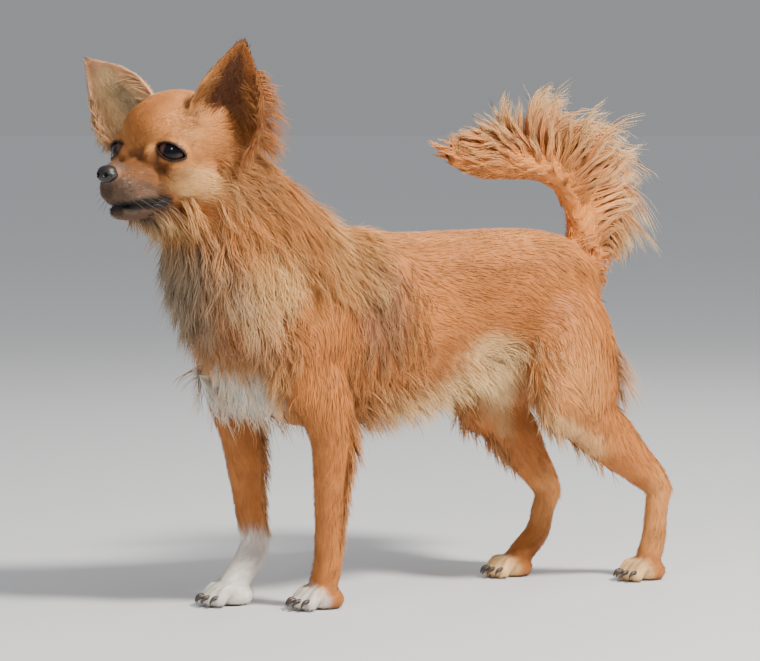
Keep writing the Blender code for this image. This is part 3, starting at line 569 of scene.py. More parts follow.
def lid_line():
    """The gap between the lids: its corners are drawn out, and the upper lid stands a little higher."""
    line = []
    for i in range(LID_POINTS):
        angle = 2 * math.pi * i / LID_POINTS
        h, v = math.cos(angle), math.sin(angle)
        height = UPPER_LID if v > 0 else LOWER_LID
        line.append((LID_HALF_WIDTH * h + 0.2, math.copysign(height * abs(v) ** 1.3, v) + 0.7))
    return line


skin = blended(object_of("skin", flesh), SKIN_VOXEL)
skull = to_skull(to_design(read_points(skin.data)))
face = ease(skull[:, 0], 40, 20) * ease(skull[:, 2], -52, -38)
coarser = skin.vertex_groups.new(name="coarser")
for level in range(1, FINENESS_STEPS + 1):
    chosen = np.nonzero(np.ceil((1 - face) * FINENESS_STEPS).astype(int) == level)[0]
    coarser.add(chosen.tolist(), level / FINENESS_STEPS, "REPLACE")
thin = skin.modifiers.new("thin", "DECIMATE")
thin.ratio = SKIN_KEEP
thin.vertex_group = "coarser"
finished(skin)
skin.vertex_groups.clear()
wedge, lip_line = mouth_wedge()
cut_away(skin, wedge)
for side in (-1, 1):
    slot = bmesh.new()
    outline = bmesh.ops.create_circle(slot, cap_ends=True, segments=LID_POINTS, radius=1)["verts"]
    for vert, (h, v) in zip(outline, lid_line()):
        vert.co = (LID_CUT_FROM, side * h, v)
    grown = bmesh.ops.extrude_face_region(slot, geom=slot.faces[:])["geom"]
    for vert in grown:
        if isinstance(vert, bmesh.types.BMVert):
            vert.co.x = LID_CUT_TO
    bmesh.ops.transform(slot, matrix=HEAD @ eye_frame(side), verts=slot.verts[:])
    bmesh.ops.recalc_face_normals(slot, faces=slot.faces[:])
    cut_away(skin, object_of("slot", slot))
    socket = bmesh.new()
    ball(socket, (EYE_PLACE.x, side * EYE_PLACE.y, EYE_PLACE.z), [EYE_RADIUS + SOCKET_CLEARANCE] * 3, HEAD)
    cut_away(skin, object_of("socket", socket))

# Where things are on the skin: which part of the body each point is on, which way its coat lies and how
# deep that coat is. The points are kept in the dog's own millimetres and, for the head, in the head's axes.
BODY_DEPTH = 1.7
HEAD_DEPTH = 0.5
LEG_DEPTH = 0.9
THIN_DEPTH = 0.25
FLOOR_GAP = 0.0001
LID_REACH = 10.2
LIE_REACH = 4.0
BLOCK = 8000


def spot(points, centre, radii, edge=0.5):
    """One inside an oval, fading to nothing outside it."""
    away = np.linalg.norm((points - np.array(centre, float)) / np.array(radii, float), axis=1)
    return ease(away, 1 + edge / 2, 1 - edge / 2)


def nearest_of(points, targets):
    """The distance from each point to the nearest of a few targets."""
    best = np.full(len(points), 1e9)
    for target in targets:
        best = np.minimum(best, np.linalg.norm(points - np.array(target, float), axis=1))
    return best


here = to_design(read_points(skin.data))
outward = read_points(skin.data, key="normal")
skull = to_skull(here)
x, y, z = here.T
ear_gap = {side: nearest_of(here, [p for line in ear_lines[side][::2] for p in line[1:]]) for side in EARS}
on_ear = {side: ease(gap, 6.5, 4.0) for side, gap in ear_gap.items()}
ears_both = np.maximum(on_ear[-1], on_ear[1])
on_head = ease((here - np.array((-146, -3, 231))) @ np.array((-0.55, 0, 0.83)), -3, 7)
on_head = np.maximum(on_head * (x < -120), ears_both)
low_leg = ease(z, 116, 96)
on_tail = np.maximum(ease(z, 226, 232), ease(x + z, 294, 304) * (z > 176))
on_tail = on_tail * (x > -20) * (z > 176)
muzzle_share = ease(skull[:, 0], 6, -10) * (on_head > 0.5)
lip_gap = nearest_of(skull, lip_line[1:-1])
over_lip = ease(skull[:, 2], MOUTH_HEIGHT - 1, MOUTH_HEIGHT + 1)
lips = ease(lip_gap, 4.0 + 1.8 * over_lip, 1.8 + 1.4 * over_lip) * (on_head > 0.5)
eye_gap = nearest_of(skull, [(EYE_PLACE.x, side * EYE_PLACE.y, 0) for side in (-1, 1)])
rims = []
for side in (-1, 1):
    for h, v in lid_line():
        reach = math.sqrt(max(LID_REACH**2 - h * h - v * v, 4))
        rims.append(tuple(eye_frame(side) @ Vector((-reach, side * h, v))))
rim_gap = nearest_of(skull, rims)
lid = ease(rim_gap, 2.2, 0.9) * (eye_gap < 14)
ear_u, ear_v = np.zeros(len(here)), np.zeros(len(here))
for side in EARS:
    which = np.nonzero(on_ear[side] > 0)[0]
    marks = np.array([[tuple(point) for point in line] for line in ear_lines[side]])
    closest = np.linalg.norm(here[which][:, None] - marks.reshape(1, -1, 3), axis=2).argmin(1)
    ear_u[which] = (closest % POINTS_ALONG) / (POINTS_ALONG - 1)
    ear_v[which] = 2 * (closest // POINTS_ALONG) / (LINES_ACROSS - 1) - 1

depth = np.full(len(here), BODY_DEPTH)
depth += (HEAD_DEPTH - depth) * on_head
depth += (LEG_DEPTH - depth) * low_leg
depth += (THIN_DEPTH - depth) * np.maximum(ears_both, muzzle_share)
depth *= (1 - lid) * (1 - lips) * ease(z, 3, 12)
moved = read_points(skin.data) - outward * depth[:, None] * MM
moved[:, 2] = np.maximum(moved[:, 2], FLOOR_GAP)
skin.data.vertices.foreach_set("co", moved.astype(np.float32).ravel())
skin.data.update()
here = to_design(moved)
outward = read_points(skin.data, key="normal")

line_points = np.concatenate([rows for rows, _ in streams])
line_ways = np.concatenate([ways for _, ways in streams])
lie = np.zeros_like(here)
for start in range(0, len(here), BLOCK):
    block = here[start:start + BLOCK]
    gaps = np.linalg.norm(block[:, None, :] - line_points[None, :, :], axis=2)
    weights = np.exp(-gaps / LIE_REACH)
    lie[start:start + BLOCK] = weights @ line_ways / weights.sum(1)[:, None]
lie -= outward * (lie * outward).sum(1)[:, None]
lie /= np.linalg.norm(lie, axis=1)[:, None] + 1e-9

# The coat's colours and markings, by place on the body: fox red over the back, legs and ears, paler on the
# cheeks and under the ruff, cream along the belly and on the thighs, with a white patch on the chest and
# white toes. Light and shade are painted in as well: highlights on the top of the back and the thighs, a
# sheen on the shoulders, and shade under the mane, behind the cheeks and inside the near ear.
# The skin and every hair take their colour from here.
RUST = np.array((0.44, 0.152, 0.037))
TAN = np.array((0.62, 0.275, 0.090))
GOLD = np.array((0.50, 0.190, 0.048))
CREAM = np.array((0.88, 0.59, 0.28))
WHITE = np.array((0.84, 0.79, 0.71))
UMBER = np.array((0.085, 0.030, 0.012))
SMOKE = np.array((0.095, 0.060, 0.042))
INK = np.array((0.012, 0.010, 0.010))
ROSE = np.array((0.76, 0.38, 0.20))
MAUVE = np.array((0.29, 0.125, 0.068))
ASH = np.array((0.25, 0.20, 0.135))
BLONDE = np.array((0.92, 0.57, 0.22))
# Marks of the head, in its own axes: tone, strength, centre, half lengths and softness of the edge
CROWN_MARKS = [
    (RUST, 0.85, (3, 0, 19), (16, 12, 17), 0.9),
    (MAUVE * 0.6, 0.8, (-13, 0, -6), (15, 8, 8), 0.8),
]
FACE_MARKS = [
    (GOLD, 0.6, (24, 24, 12), (16, 12, 14), 0.8),
    # Darker rust behind each cheek under the ear: partly the coat's own colour, partly painted shade.
    (RUST * 0.75, 0.85, (50, 28, -4), (22, 18, 27), 0.8),
    (RUST * 0.8, 0.8, (24, 18, -34), (26, 16, 9), 0.8),
    (BLONDE * (0.90, 0.80, 0.82), 0.8, (15, 24, -17), (17, 14, 9), 0.8),
    (BLONDE, 0.25, (14, 21, 9), (8, 7, 3.5), 0.8),
    (RUST, 0.85, (-7, 10, -11), (10, 8, 6), 0.8),
    (RUST * 0.45, 0.9, (-13, 7, -10), (13, 9, 9), 0.8),
    (SMOKE * 1.3, 0.85, (-15, 11, -23), (16, 8, 8), 0.7),
    (SMOKE, 0.85, (-25, 5, -20), (9, 8, 8), 0.7),
    (UMBER, 0.75, (0, 17, -9), (8, 5, 3.6), 0.8),
    (UMBER, 0.75, (-4, 12, -3), (4, 4, 5), 0.8),
]
MUZZLE_MARKS = [
    (SMOKE, 0.9, (-13, 0, -36), (20, 15, 8), 0.6),
    (SMOKE * 1.2, 0.8, (-25, 0, -8), (9, 8, 6), 0.8),
    (SMOKE, 0.7, (-27, 0, -19), (6, 9, 7), 0.6),
]


def waver(points, size, seed):
    """A smooth uneven value about zero that drifts over the body."""
    turns = np.random.default_rng(seed).normal(size=(6, 3)) / size
    phases = np.random.default_rng(seed + 1).random(6) * 7
    return np.sin(points @ turns.T + phases).sum(1) / 2.4


def lay(tone, mask):
    """Lays a tone over the coat as far as its mask covers."""
    paint[:] = paint + (tone - paint) * np.clip(mask, 0, 1)[:, None]


def lay_on_head(marks, side=1):
    for tone, strength, (mx, my, mz), radii, edge in marks:
        lay(tone, strength * on_head * spot(skull, (mx, side * my, mz), radii, edge))


x, y, z = here.T
paint = np.tile(RUST, (len(here), 1))
off_head = 1 - on_head
# Painted highlight: the top of the back is laid paler, as light falls on it from above.
lay(TAN * 1.15, 0.42 * ease(z, 190, 215) * off_head)
lay(TAN * (1.2, 0.98, 0.7), 0.85 * on_tail)
# Painted sheen: a mauve reflection laid over each shoulder, weaker on the right.
shoulder_sheen_left = spot(here, (-62, -42, 180), (18, 20, 34), 0.9)
shoulder_sheen_right = spot(here, (-62, 42, 180), (18, 20, 34), 0.9)
lay(MAUVE, 0.7 * np.maximum(shoulder_sheen_left, 0.6 * shoulder_sheen_right))
under = ease(z - 0.34 * (x + 47), 124, 104) * ease(x, -62, -40)
outer_thigh = ease(x, 30, 46) * ease(np.abs(y), 22, 30)
lay(CREAM, 0.85 * under * (z > 84) * ease(x, 84, 70) * (1 - outer_thigh))
band = nearest_of(here[:, (0, 2)], spline([(14, 128), (32, 112), (59, 96), (88, 82)], 24))
outer_side = ease(outward[:, 1] * np.sign(y), -0.2, 0.3)
streak = (0.68 - 0.2 * (y > 0)) * ease(band, 13, 3) * (z < 140) * (x > 0) * outer_side
lay(CREAM, streak * (0.5 + 0.5 * ease(z, 84, 108)))
# Painted highlight on the outer side of each thigh.
lay(TAN * 1.3, 0.7 * spot(here, (74, 0, 124), (26, 60, 30), 0.9) * outer_side)
lay(CREAM, 0.6 * spot(here, (20, 0, 139), (24, 70, 15), 0.9) * (1 - 0.4 * (y > 0)))
# Painted shade: a dark line in the crease under the mane locks, on the left side.
lay(UMBER, 0.65 * spot(here, (-64, -41, 186), (6, 12, 12), 0.8))
for joints in HINDLEGS.values():
    (hock_x, hock_y, _), (foot_x, foot_y, _) = joints["hock"], joints["paw"]
    lay(TAN, 0.5 * spot(here, (hock_x - 4, hock_y, 40), (12, 14, 30)))
    lay(CREAM, 0.8 * spot(here, (foot_x - 12, foot_y, 4), (14, 13, 11)))
lay(CREAM, 0.7 * ease(x, 104, 116) * ease(z, 170, 158) * ease(z, 98, 112))
facing = ease(outward @ np.array((-0.85, 0, 0.5)), -0.1, 0.5)
lay(GOLD, 0.6 * ease(x, -70, -110) * ease(z, 150, 180) * off_head)
lay(ASH, 0.85 * facing * spot(here, (-160, 8, 205), (24, 28, 46), 0.8) * off_head)
lay(CREAM, 0.4 * spot(here, (-138, -38, 188), (24, 20, 18), 0.8))
lay(WHITE, spot(here, (-140, 1, 124), (24, 39, 22), 0.3) * ease(x, -98, -106))
lay(RUST, 0.85 * spot(here, (-150, -14, 138), (12, 9, 7), 0.8))
for joints in FORELEGS.values():
    wrist_x, wrist_y, _ = joints["wrist"]
    lay(TAN, 0.4 * spot(here, (wrist_x + 8, wrist_y, 60), (9, 9, 50)))
foot_x, foot_y, _ = FORELEGS[1]["paw"]
lay(WHITE, 0.95 * ease(z, 47, 36) * spot(here, (foot_x + 8, foot_y, 15), (34, 18, 60), 0.2))
foot_x, foot_y, _ = FORELEGS[-1]["paw"]
lay(WHITE, 0.85 * spot(here, (foot_x - 12, foot_y, 4), (14, 14, 11), 0.5))

lay(RUST * 0.5 + TAN * 0.5, on_head * (1 - ears_both))
lay_on_head(CROWN_MARKS)
for side in (-1, 1):
    lay_on_head(FACE_MARKS, side)
lay_on_head(MUZZLE_MARKS)
lay(SMOKE, 0.7 * ease(lip_gap, 7.5, 4.0) * (on_head > 0.5))
lay(INK, lips)
lay(INK, 0.96 * lid * (on_head > 0.5))

for side in (-1, 1):
    inside = ease(turn_of(ear_frame(side))[:, 1] @ outward.T, 0.1, 0.5)
    cup = on_ear[side] * inside
    lay(RUST * 0.9 if side < 0 else ROSE * 0.85, on_ear[side] * (1 - inside))
    ear_edge = np.array([tuple(p) for line in (ear_lines[side][0], ear_lines[side][-1]) for p in line])
    edge_gap = nearest_of(here, ear_edge)
    edge = ease(edge_gap, 8, 2.5) * cup
    if side < 0:
        # Painted shade: the near ear's cup lies in shadow and is laid near-black brown. Its hair-covered rear
        # half and base are laid a dark rust, partly hair colour and partly painted light reaching into the
        # cup.
        lay(UMBER, 0.95 * cup)
        lay(RUST * 0.6, 0.9 * cup * ease(ear_v, 0.05, 0.5) * ease(ear_u, 0.2, 0.4))
        lay(RUST * 0.6, 0.8 * cup * ease(ear_u, 0.3, 0.1))
        lay(RUST * 0.9, 0.8 * edge)
        lay(TAN, 0.8 * cup * ease(ear_v, -0.35, -0.85) * ease(ear_u, 0.8, 0.6))
    else:
        lay(ROSE, 0.9 * cup)
        lay(CREAM, 0.85 * cup * ease(np.abs(ear_v), 0.95, 0.6) * ease(ear_u, 0.95, 0.7))
        lay(ASH, 0.6 * cup * ease(np.abs(ear_v - 0.05), 0.42, 0.1) * ease(np.abs(ear_u - 0.4), 0.3, 0.1))
        lay(UMBER, 0.3 * cup * ease(ear_u, 0.25, 0.08))
        lay(ROSE, 0.7 * edge)
        lay(CREAM, 0.75 * on_ear[side] * ease(edge_gap, 7, 2.5) * (1 - cup))
lay(INK * 4, ease(z, 2.2, 0.8))
uneven_coat = 1 + 0.08 * waver(here, 15, 21) + 0.10 * waver(here * np.array((0.35, 1, 0.8)), 3.6, 33)
paint = paint * uneven_coat[:, None]

# The coat's paint: the colour that each point or hair carries, broken by fine streaks and soft patches and
# with a faint sheen. The skin wears it too, so that it doesn't show between the hairs.
FLESH_NODES = [
    "torso", "head", "neck", "tail_base", "tail_middle", "tail_tip", "foreleg_left", "foreleg_right",
    "hindleg_left", "hindleg_right", "hindfoot_left", "hindfoot_right", "ear_left", "ear_right",
]
SHEEN_TINT = (1.0, 0.86, 0.7, 1)
GRAIN_RELIEF = 0.0004


def colour_of(mesh, colours):
    """Keeps a colour for each point in the attribute that the coat's paint reads."""
    layer = mesh.color_attributes.new("coat_colour", "FLOAT_COLOR", "POINT")
    filled = np.ones((len(colours), 4), np.float32)
    filled[:, :3] = np.clip(colours, 0, 1)
    layer.data.foreach_set("color", filled.ravel())


def join(links, *pairs):
    for start, end in pairs:
        links.new(start, end)


def hair_grain():
    """Fine streaks and soft patches in a coat: takes a colour, gives it back uneven, with a height."""
    group = bpy.data.node_groups.new("hair_grain", "ShaderNodeTree")
    for name, kind, way in (
        ("Colour", "NodeSocketColor", "INPUT"),
        ("Fineness", "NodeSocketFloat", "INPUT"),
        ("Contrast", "NodeSocketFloat", "INPUT"),
        ("Colour", "NodeSocketColor", "OUTPUT"),
        ("Roughness", "NodeSocketFloat", "OUTPUT"),
        ("Height", "NodeSocketFloat", "OUTPUT"),
    ):
        group.interface.new_socket(name, in_out=way, socket_type=kind)
    new = group.nodes.new
    inside, outside, place = new("NodeGroupInput"), new("NodeGroupOutput"), new("ShaderNodeTexCoord")
    fine, broad = new("ShaderNodeTexNoise"), new("ShaderNodeTexNoise")
    both, centred, shade = (new("ShaderNodeMath") for _ in range(3))
    tinted, dull = new("ShaderNodeVectorMath"), new("ShaderNodeMapRange")
    fine.inputs["Detail"].default_value = 3
    broad.inputs["Scale"].default_value = 90
    both.operation, centred.operation, shade.operation = "ADD", "SUBTRACT", "MULTIPLY_ADD"
    centred.inputs[1].default_value = 1.0
    shade.inputs[2].default_value = 1.0
    tinted.operation = "SCALE"
    set_sockets(dull, {"To Min": 0.62, "To Max": 0.42})
    join(
        group.links,
        (place.outputs["Object"], fine.inputs["Vector"]),
        (place.outputs["Object"], broad.inputs["Vector"]),
        (inside.outputs["Fineness"], fine.inputs["Scale"]),
        (fine.outputs["Fac"], both.inputs[0]),
        (broad.outputs["Fac"], both.inputs[1]),
        (both.outputs[0], centred.inputs[0]),
        (centred.outputs[0], shade.inputs[0]),
        (inside.outputs["Contrast"], shade.inputs[1]),
        (inside.outputs["Colour"], tinted.inputs[0]),
        (shade.outputs[0], tinted.inputs["Scale"]),
        (tinted.outputs[0], outside.inputs["Colour"]),
        (fine.outputs["Fac"], dull.inputs["Value"]),
        (dull.outputs[0], outside.inputs["Roughness"]),
        (fine.outputs["Fac"], outside.inputs["Height"]),
    )
    return group


HAIR_GRAIN = hair_grain()


def coat_paint(name, fineness, contrast, bump, sheen=0.0):
    finish = {"Specular IOR Level": 0.2, "Sheen Weight": sheen, "Sheen Tint": SHEEN_TINT}
    material, shader, nodes, links = new_paint(name, finish)
    own = nodes.new("ShaderNodeAttribute")
    own.attribute_name = "coat_colour"
    grain = nodes.new("ShaderNodeGroup")
    grain.node_tree = HAIR_GRAIN
    set_sockets(grain, {"Fineness": fineness, "Contrast": contrast})
    relief = nodes.new("ShaderNodeBump")
    set_sockets(relief, {"Strength": bump, "Distance": GRAIN_RELIEF})
    join(
        links,
        (own.outputs["Color"], grain.inputs["Colour"]),
        (grain.outputs["Colour"], shader.inputs["Base Color"]),
        (grain.outputs["Roughness"], shader.inputs["Roughness"]),
        (grain.outputs["Height"], relief.inputs["Height"]),
        (relief.outputs["Normal"], shader.inputs["Normal"]),
    )
    return material


colour_of(skin.data, paint)
smooth_shaded(skin)
skin.data.materials.clear()
skin.data.materials.append(coat_paint("skin_paint", 900, 0.3, 0.5))
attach(skin, "root")
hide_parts(*FLESH_NODES)

# The unwrap of the skin: a thinned copy of it is laid out flat, and every tuft takes its place on its own
# map from the spot that it grows from.
UNWRAP_KEEP = 0.035
UNWRAP_ANGLE = math.radians(66)
ISLAND_MARGIN = 0.004


def read_triangles(mesh, key="vertices"):
    mesh.calc_loop_triangles()
    found = np.empty(len(mesh.loop_triangles) * 3, np.int32)
    mesh.loop_triangles.foreach_get(key, found)
    return found.reshape(-1, 3)


unwrapped = placed("unwrapped", skin.data.copy())
fewer = unwrapped.modifiers.new("fewer", "DECIMATE")
fewer.ratio = UNWRAP_KEEP
finished(unwrapped)
bpy.context.view_layer.objects.active = unwrapped
unwrapped.select_set(True)
bpy.ops.object.mode_set(mode="EDIT")
bpy.ops.mesh.select_all(action="SELECT")
bpy.ops.uv.smart_project(angle_limit=UNWRAP_ANGLE, island_margin=ISLAND_MARGIN)
bpy.ops.object.mode_set(mode="OBJECT")
map_points = to_design(read_points(unwrapped.data))
map_faces = read_triangles(unwrapped.data)
map_places = np.empty(len(unwrapped.data.loops) * 2, np.float32)
unwrapped.data.uv_layers.active.data.foreach_get("uv", map_places)
map_places = map_places.reshape(-1, 2)[read_triangles(unwrapped.data, "loops")]
map_tree = BVHTree.FromPolygons(map_points.tolist(), map_faces.tolist())
bpy.data.objects.remove(unwrapped)


def map_place(points):
    """Where each point of the skin falls on the unwrap."""
    found = [map_tree.find_nearest(point) for point in points.tolist()]
    spots = np.array([f[0][:] for f in found])
    faces = np.array([f[2] for f in found])
    a, b, c = (map_points[map_faces[faces, k]] for k in range(3))
    u, v, w = b - a, c - a, spots - a
    uu, uv, vv, wu, wv = ((p * q).sum(1) for p, q in ((u, u), (u, v), (v, v), (w, u), (w, v)))
    flat = uu * vv - uv * uv + 1e-12
    second, third = (vv * wu - uv * wv) / flat, (uu * wv - uv * wu) / flat
    shares = np.clip(np.stack([1 - second - third, second, third], 1), 0, 1)
    return (map_places[faces] * shares[:, :, None]).sum(1) / shares.sum(1)[:, None]


# How the coat grows: hairs are rooted in the skin by area, leave it at an angle along its lie and taper to
# a point. Each is a slim three-sided tuft, closed at its root.
PATCH = 0.003
ROOT_DEPTH = 0.5
SKIN_CLEARANCE = 0.15
FLOOR_CLEARANCE = 0.15
FIND_WITHIN = 25
SUNK_WITHIN = 12
DOWN = (0, 0, -1.0)
# Along a tuft: shares of its length, and its width there as a share of the whole
TAPER = ((0, 0.25, 0.6, 1), (0.6, 1.0, 0.8, 0.1))
draw = np.random.default_rng(7)
triangles = read_triangles(skin.data)
sides_of = here[triangles]
areas = np.linalg.norm(np.cross(sides_of[:, 1] - sides_of[:, 0], sides_of[:, 2] - sides_of[:, 0]), axis=1) / 2
skin_tree = BVHTree.FromPolygons(here.tolist(), triangles.tolist())


def unit(ways):
    return ways / (np.linalg.norm(ways, axis=-1, keepdims=True) + 1e-9)


class Roots:
    """Places on the skin where hairs grow, drawn by a density for each square millimetre."""

    def __init__(self, density, most):
        share = areas * density[triangles].mean(1)
        wanted = share.sum()
        self.count = int(min(wanted, most))
        self.face = draw.choice(len(share), self.count, p=share / wanted)
        a, b = draw.random((2, self.count))
        a = np.sqrt(a)
        self.shares = np.stack([1 - a, a * (1 - b), a * b], 1)
        self.point, self.colour = self.at(here), self.at(paint)
        self.normal, self.lie = unit(self.at(outward)), unit(self.at(lie))

    def at(self, field):
        """A field of the skin at each root. What is the same everywhere comes back as it is."""
        if np.ndim(field) == 0 or len(field) != len(here):
            return np.array(field, float)
        corners = field[triangles[self.face]]
        shares = self.shares if field.ndim == 1 else self.shares[:, :, None]
        return (corners * shares).sum(1)


def clear_of_skin(points, least):
    """Moves points that have sunk too near the skin back out of it."""
    for i, point in enumerate(points.tolist()):
        met, normal, _, gap = skin_tree.find_nearest(point, FIND_WITHIN)
        if met is None:
            continue
        if gap < SUNK_WITHIN and (Vector(point) - met).dot(normal) < least:
            points[i] = met + normal * least
    return points


def combed(root, length, lift, points, swing, rise, bend=0.0, towards=DOWN, way=None, stand=None):
    """The line of each hair, from just under the skin to its tip."""
    stand = root.normal if stand is None else stand
    way = root.lie if way is None else unit(way - stand * (way * stand).sum(1)[:, None])
    across = np.cross(root.normal, way)
    turn = draw.normal(0, swing, root.count)[:, None] + swing * waver(root.point, 9, 5)[:, None]
    way = unit(way + across * turn)
    angle = (lift * draw.uniform(0.75, 1.25, root.count))[:, None]
    direction = way * np.cos(angle) + stand * np.sin(angle)
    lines = np.empty((root.count, points, 3))
    lines[:, 0] = root.point - root.normal * ROOT_DEPTH
    shares = np.linspace(0, 1, points)
    pull = np.broadcast_to(towards, (root.count, 3))
    bend = np.broadcast_to(bend, (root.count,))[:, None]
    for k in range(1, points):
        step = shares[k] - shares[k - 1]
        direction = unit(direction + pull * bend * step)
        lines[:, k] = lines[:, k - 1] + direction * (length * step)[:, None]
        lines[:, k] = clear_of_skin(lines[:, k], SKIN_CLEARANCE + rise * shares[k])
    return lines


def uneven(colours, amount):
    """Hairs of one coat differ a little from one another in shade and in warmth."""
    count = len(colours)
    shade = 1 + amount * draw.normal(0, 1, count)
    warmth = 1 + amount * 0.35 * draw.normal(0, 1, count)
    return colours * np.clip(np.stack([shade * warmth, shade, shade / warmth], 1), 0.45, 1.6)


def tuft_faces(rings):
    """The triangles of one tuft: its root, its three sides and its point."""
    faces = [(0, 1, 2)]
    for k in range(rings - 1):
        for j in range(3):
            a, b = 3 * k + j, 3 * k + (j + 1) % 3
            faces += [(a, a + 3, b), (b, a + 3, b + 3)]
    last = 3 * (rings - 1)
    faces += [(last + j, last + 3, last + (j + 1) % 3) for j in range(3)]
    return np.array(faces)


def tufts(
    name, lines, flats, width, roots_at, colours, tips, material, keel=0.35, soft=0.4, painted_root_shade=0.78,
    fade=1.3, round_back=0.0,
):
    """One mesh of many tufts, shaded partly as the coat they make together, so that they look silky."""
    count, points = lines.shape[:2]
    rings = points - 1
    each = rings * 3 + 1
    along = unit(np.gradient(lines, axis=1))
    side = unit(np.cross(along, flats[:, None, :]))
    up = np.cross(side, along)
    shares = np.linspace(0, 1, points)[:rings]
    width = np.broadcast_to(width, (count,))[:, None, None]
    spread = np.interp(shares, *TAPER)[None, :, None] * width / 2
    rims = lines[:, :rings]
    side, tip_way, up = side[:, :rings], up[:, -1:], up[:, :rings]
    verts = np.stack([rims + side * spread, rims + up * spread * 2 * keel, rims - side * spread], axis=2)
    verts = np.concatenate([verts.reshape(count, rings * 3, 3), lines[:, -1:]], axis=1)
    verts[:, :, 2] = np.maximum(verts[:, :, 2], FLOOR_CLEARANCE)
    behind_hair = up * round_back
    own_ways = np.stack([side - behind_hair, up, -side - behind_hair], axis=2).reshape(count, rings * 3, 3)
    own_ways = np.concatenate([own_ways, tip_way], axis=1)
    shading = unit(own_ways * soft + flats[:, None, :] * (1 - soft))
    every = (tuft_faces(rings)[None] + (np.arange(count) * each)[:, None, None]).ravel()
    mesh = bpy.data.meshes.new(name)
    mesh.vertices.add(count * each)
    mesh.vertices.foreach_set("co", (verts.reshape(-1, 3) * MM + np.array(offset)).astype(np.float32).ravel())
    mesh.loops.add(len(every))
    mesh.loops.foreach_set("vertex_index", every.astype(np.int32))
    mesh.polygons.add(len(every) // 3)
    mesh.polygons.foreach_set("loop_start", np.arange(0, len(every), 3, dtype=np.int32))
    piece = placed(name, mesh)
    smooth_shaded(piece)
    mesh.update(calc_edges=True)
    mesh.normals_split_custom_set_from_vertices(shading.reshape(-1, 3))

    heights = np.concatenate([np.repeat(shares, 3), [1.0]])
    colour = colours[:, None, :] + (tips - colours)[:, None, :] * heights[None, :, None] ** fade
    # Each hair is laid darker towards its root: painted shade deep in the coat, between the hairs.
    colour = colour * (painted_root_shade + (1.04 - painted_root_shade) * np.minimum(heights * 1.6, 1))[None, :, None]
    colour_of(mesh, colour.reshape(-1, 3))
    corner = np.stack([heights - 0.5, np.concatenate([np.tile((-0.5, 0.0, 0.5), rings), [0.0]])], 1) * PATCH
    places = (map_place(roots_at)[:, None, :] + corner[None]).reshape(-1, 2)[every]
    layer = mesh.uv_layers.new(name="OFBake")
    layer.data.foreach_set("uv", places.astype(np.float32).ravel())
    mesh.materials.append(material)
    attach(piece, "root")
    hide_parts(*FLESH_NODES)


# The short coat: fine hairs that lie close over the face and ears, the back and sides, and down the legs to
# the toes. Each stands alone, shortest round the eyes and on the feet.
BODY_LENGTH = 11.5
LEG_LENGTH = 7.5
FOOT_LENGTH = 4.2
HEAD_LENGTH = 7.5
FACE_LENGTH = 4.4
MUZZLE_LENGTH = 3.0
CHEEK_LENGTH = 7.5
EYE_EDGE_LENGTH = 2.3
NAPE_LENGTH = 13
EAR_HAIR_LENGTH = 4.8
SHORT_POINTS = 3
NOSE_PLACE = (-28.5, 0, -11.5)
NOSE_BARE = (6.4, 7.2, 5.8)
short_paint = coat_paint("short_coat", 1500, 0.35, 0.2, 0.03)
x, y, z = here.T
sx, sy, sz = skull.T
head_share = on_head * (1 - ears_both)
face_share = ease(sx, 34, 14) * head_share
length = np.full(len(here), BODY_LENGTH)
for reach, share in (
    (LEG_LENGTH, low_leg),
    (FOOT_LENGTH, ease(z, 30, 14)),
    (HEAD_LENGTH, head_share),
    (FACE_LENGTH, face_share),
    (MUZZLE_LENGTH, ease(sx, 4, -10) * head_share),
    (CHEEK_LENGTH, ease(sx, 4, 20) * ease(sz, -5, -12) * head_share),
    (EYE_EDGE_LENGTH, ease(rim_gap, 8, 3) * head_share),
    (NAPE_LENGTH, ease(sx, 36, 52) * head_share),
    (EAR_HAIR_LENGTH, ears_both),
):
    length += (reach - length) * share
width = np.clip(0.055 * length, 0.22, 0.55)
lift = np.full(len(here), 0.13) + 0.08 * head_share
nose_gap = np.linalg.norm((skull - np.array(NOSE_PLACE)) / np.array(NOSE_BARE), axis=1)
bare = (lip_gap < 1.9) | (rim_gap < 1.2) | (eye_gap < 9.8) | (z < 1.2) | ((nose_gap < 1) & (on_head > 0.5))
cover = np.minimum(1.0 / (0.62 * length * width), 1.9) * ~bare
on_body = (1 - on_head) * (1 - low_leg) * (1 - on_tail)
flank = ease(x, -88, -74) * ease(x, -22, -38) * ease(z, 198, 178) * ease(z, 104, 114)
flank = flank * ease(np.abs(outward[:, 1]), 0.3, 0.6) * (1 - on_head)
on_body = on_body * (1 - 0.5 * flank)


def short_coat(name, density, most, length=length, swing=0.13, rise=0.5, soft=0.4):
    """A coat of single hairs, by its density for each square millimetre and the most that it may have."""
    root = Roots(density, most)
    size = root.at(length) * draw.uniform(0.7, 1.15, root.count)
    lines = combed(root, size, root.at(lift), SHORT_POINTS, swing, rise)
    colours = uneven(root.colour, 0.11)
    tips = colours * 1.10
    tufts(
        name, lines, root.normal, root.at(width), root.point, colours, tips, short_paint,
        soft=soft, painted_root_shade=0.86,
    )


short_coat("coat_face", 1.7 * cover * face_share, 17500, swing=0.14, rise=0.35, soft=0.5)
short_coat("coat_head", 2.2 * cover * head_share * (1 - face_share), 6500, soft=0.5)
short_coat("coat_ears", 1.2 * cover * ears_both, 7800, rise=0.2, soft=1.0)
short_coat("coat_left", 1.3 * cover * on_body * (y < 0), 11500)
short_coat("coat_right", 1.3 * cover * on_body * (y >= 0), 11500)
short_coat("coat_tail", 1.1 * cover * on_tail, 2400, length=0.7 * length)
short_coat("coat_legs", 1.3 * cover * low_leg * (1 - on_head), 10000, rise=0.35)

# The long coat: silky hair in locks that draw together and lift at their tips. It makes a ruff and mane
# round the neck, a beard under the jaw, feathering on the legs and belly, and culottes on the thighs.
BLEND_BLOCK = 2000
long_paint = coat_paint("long_coat", 700, 0.30, 0.2, 0.10)


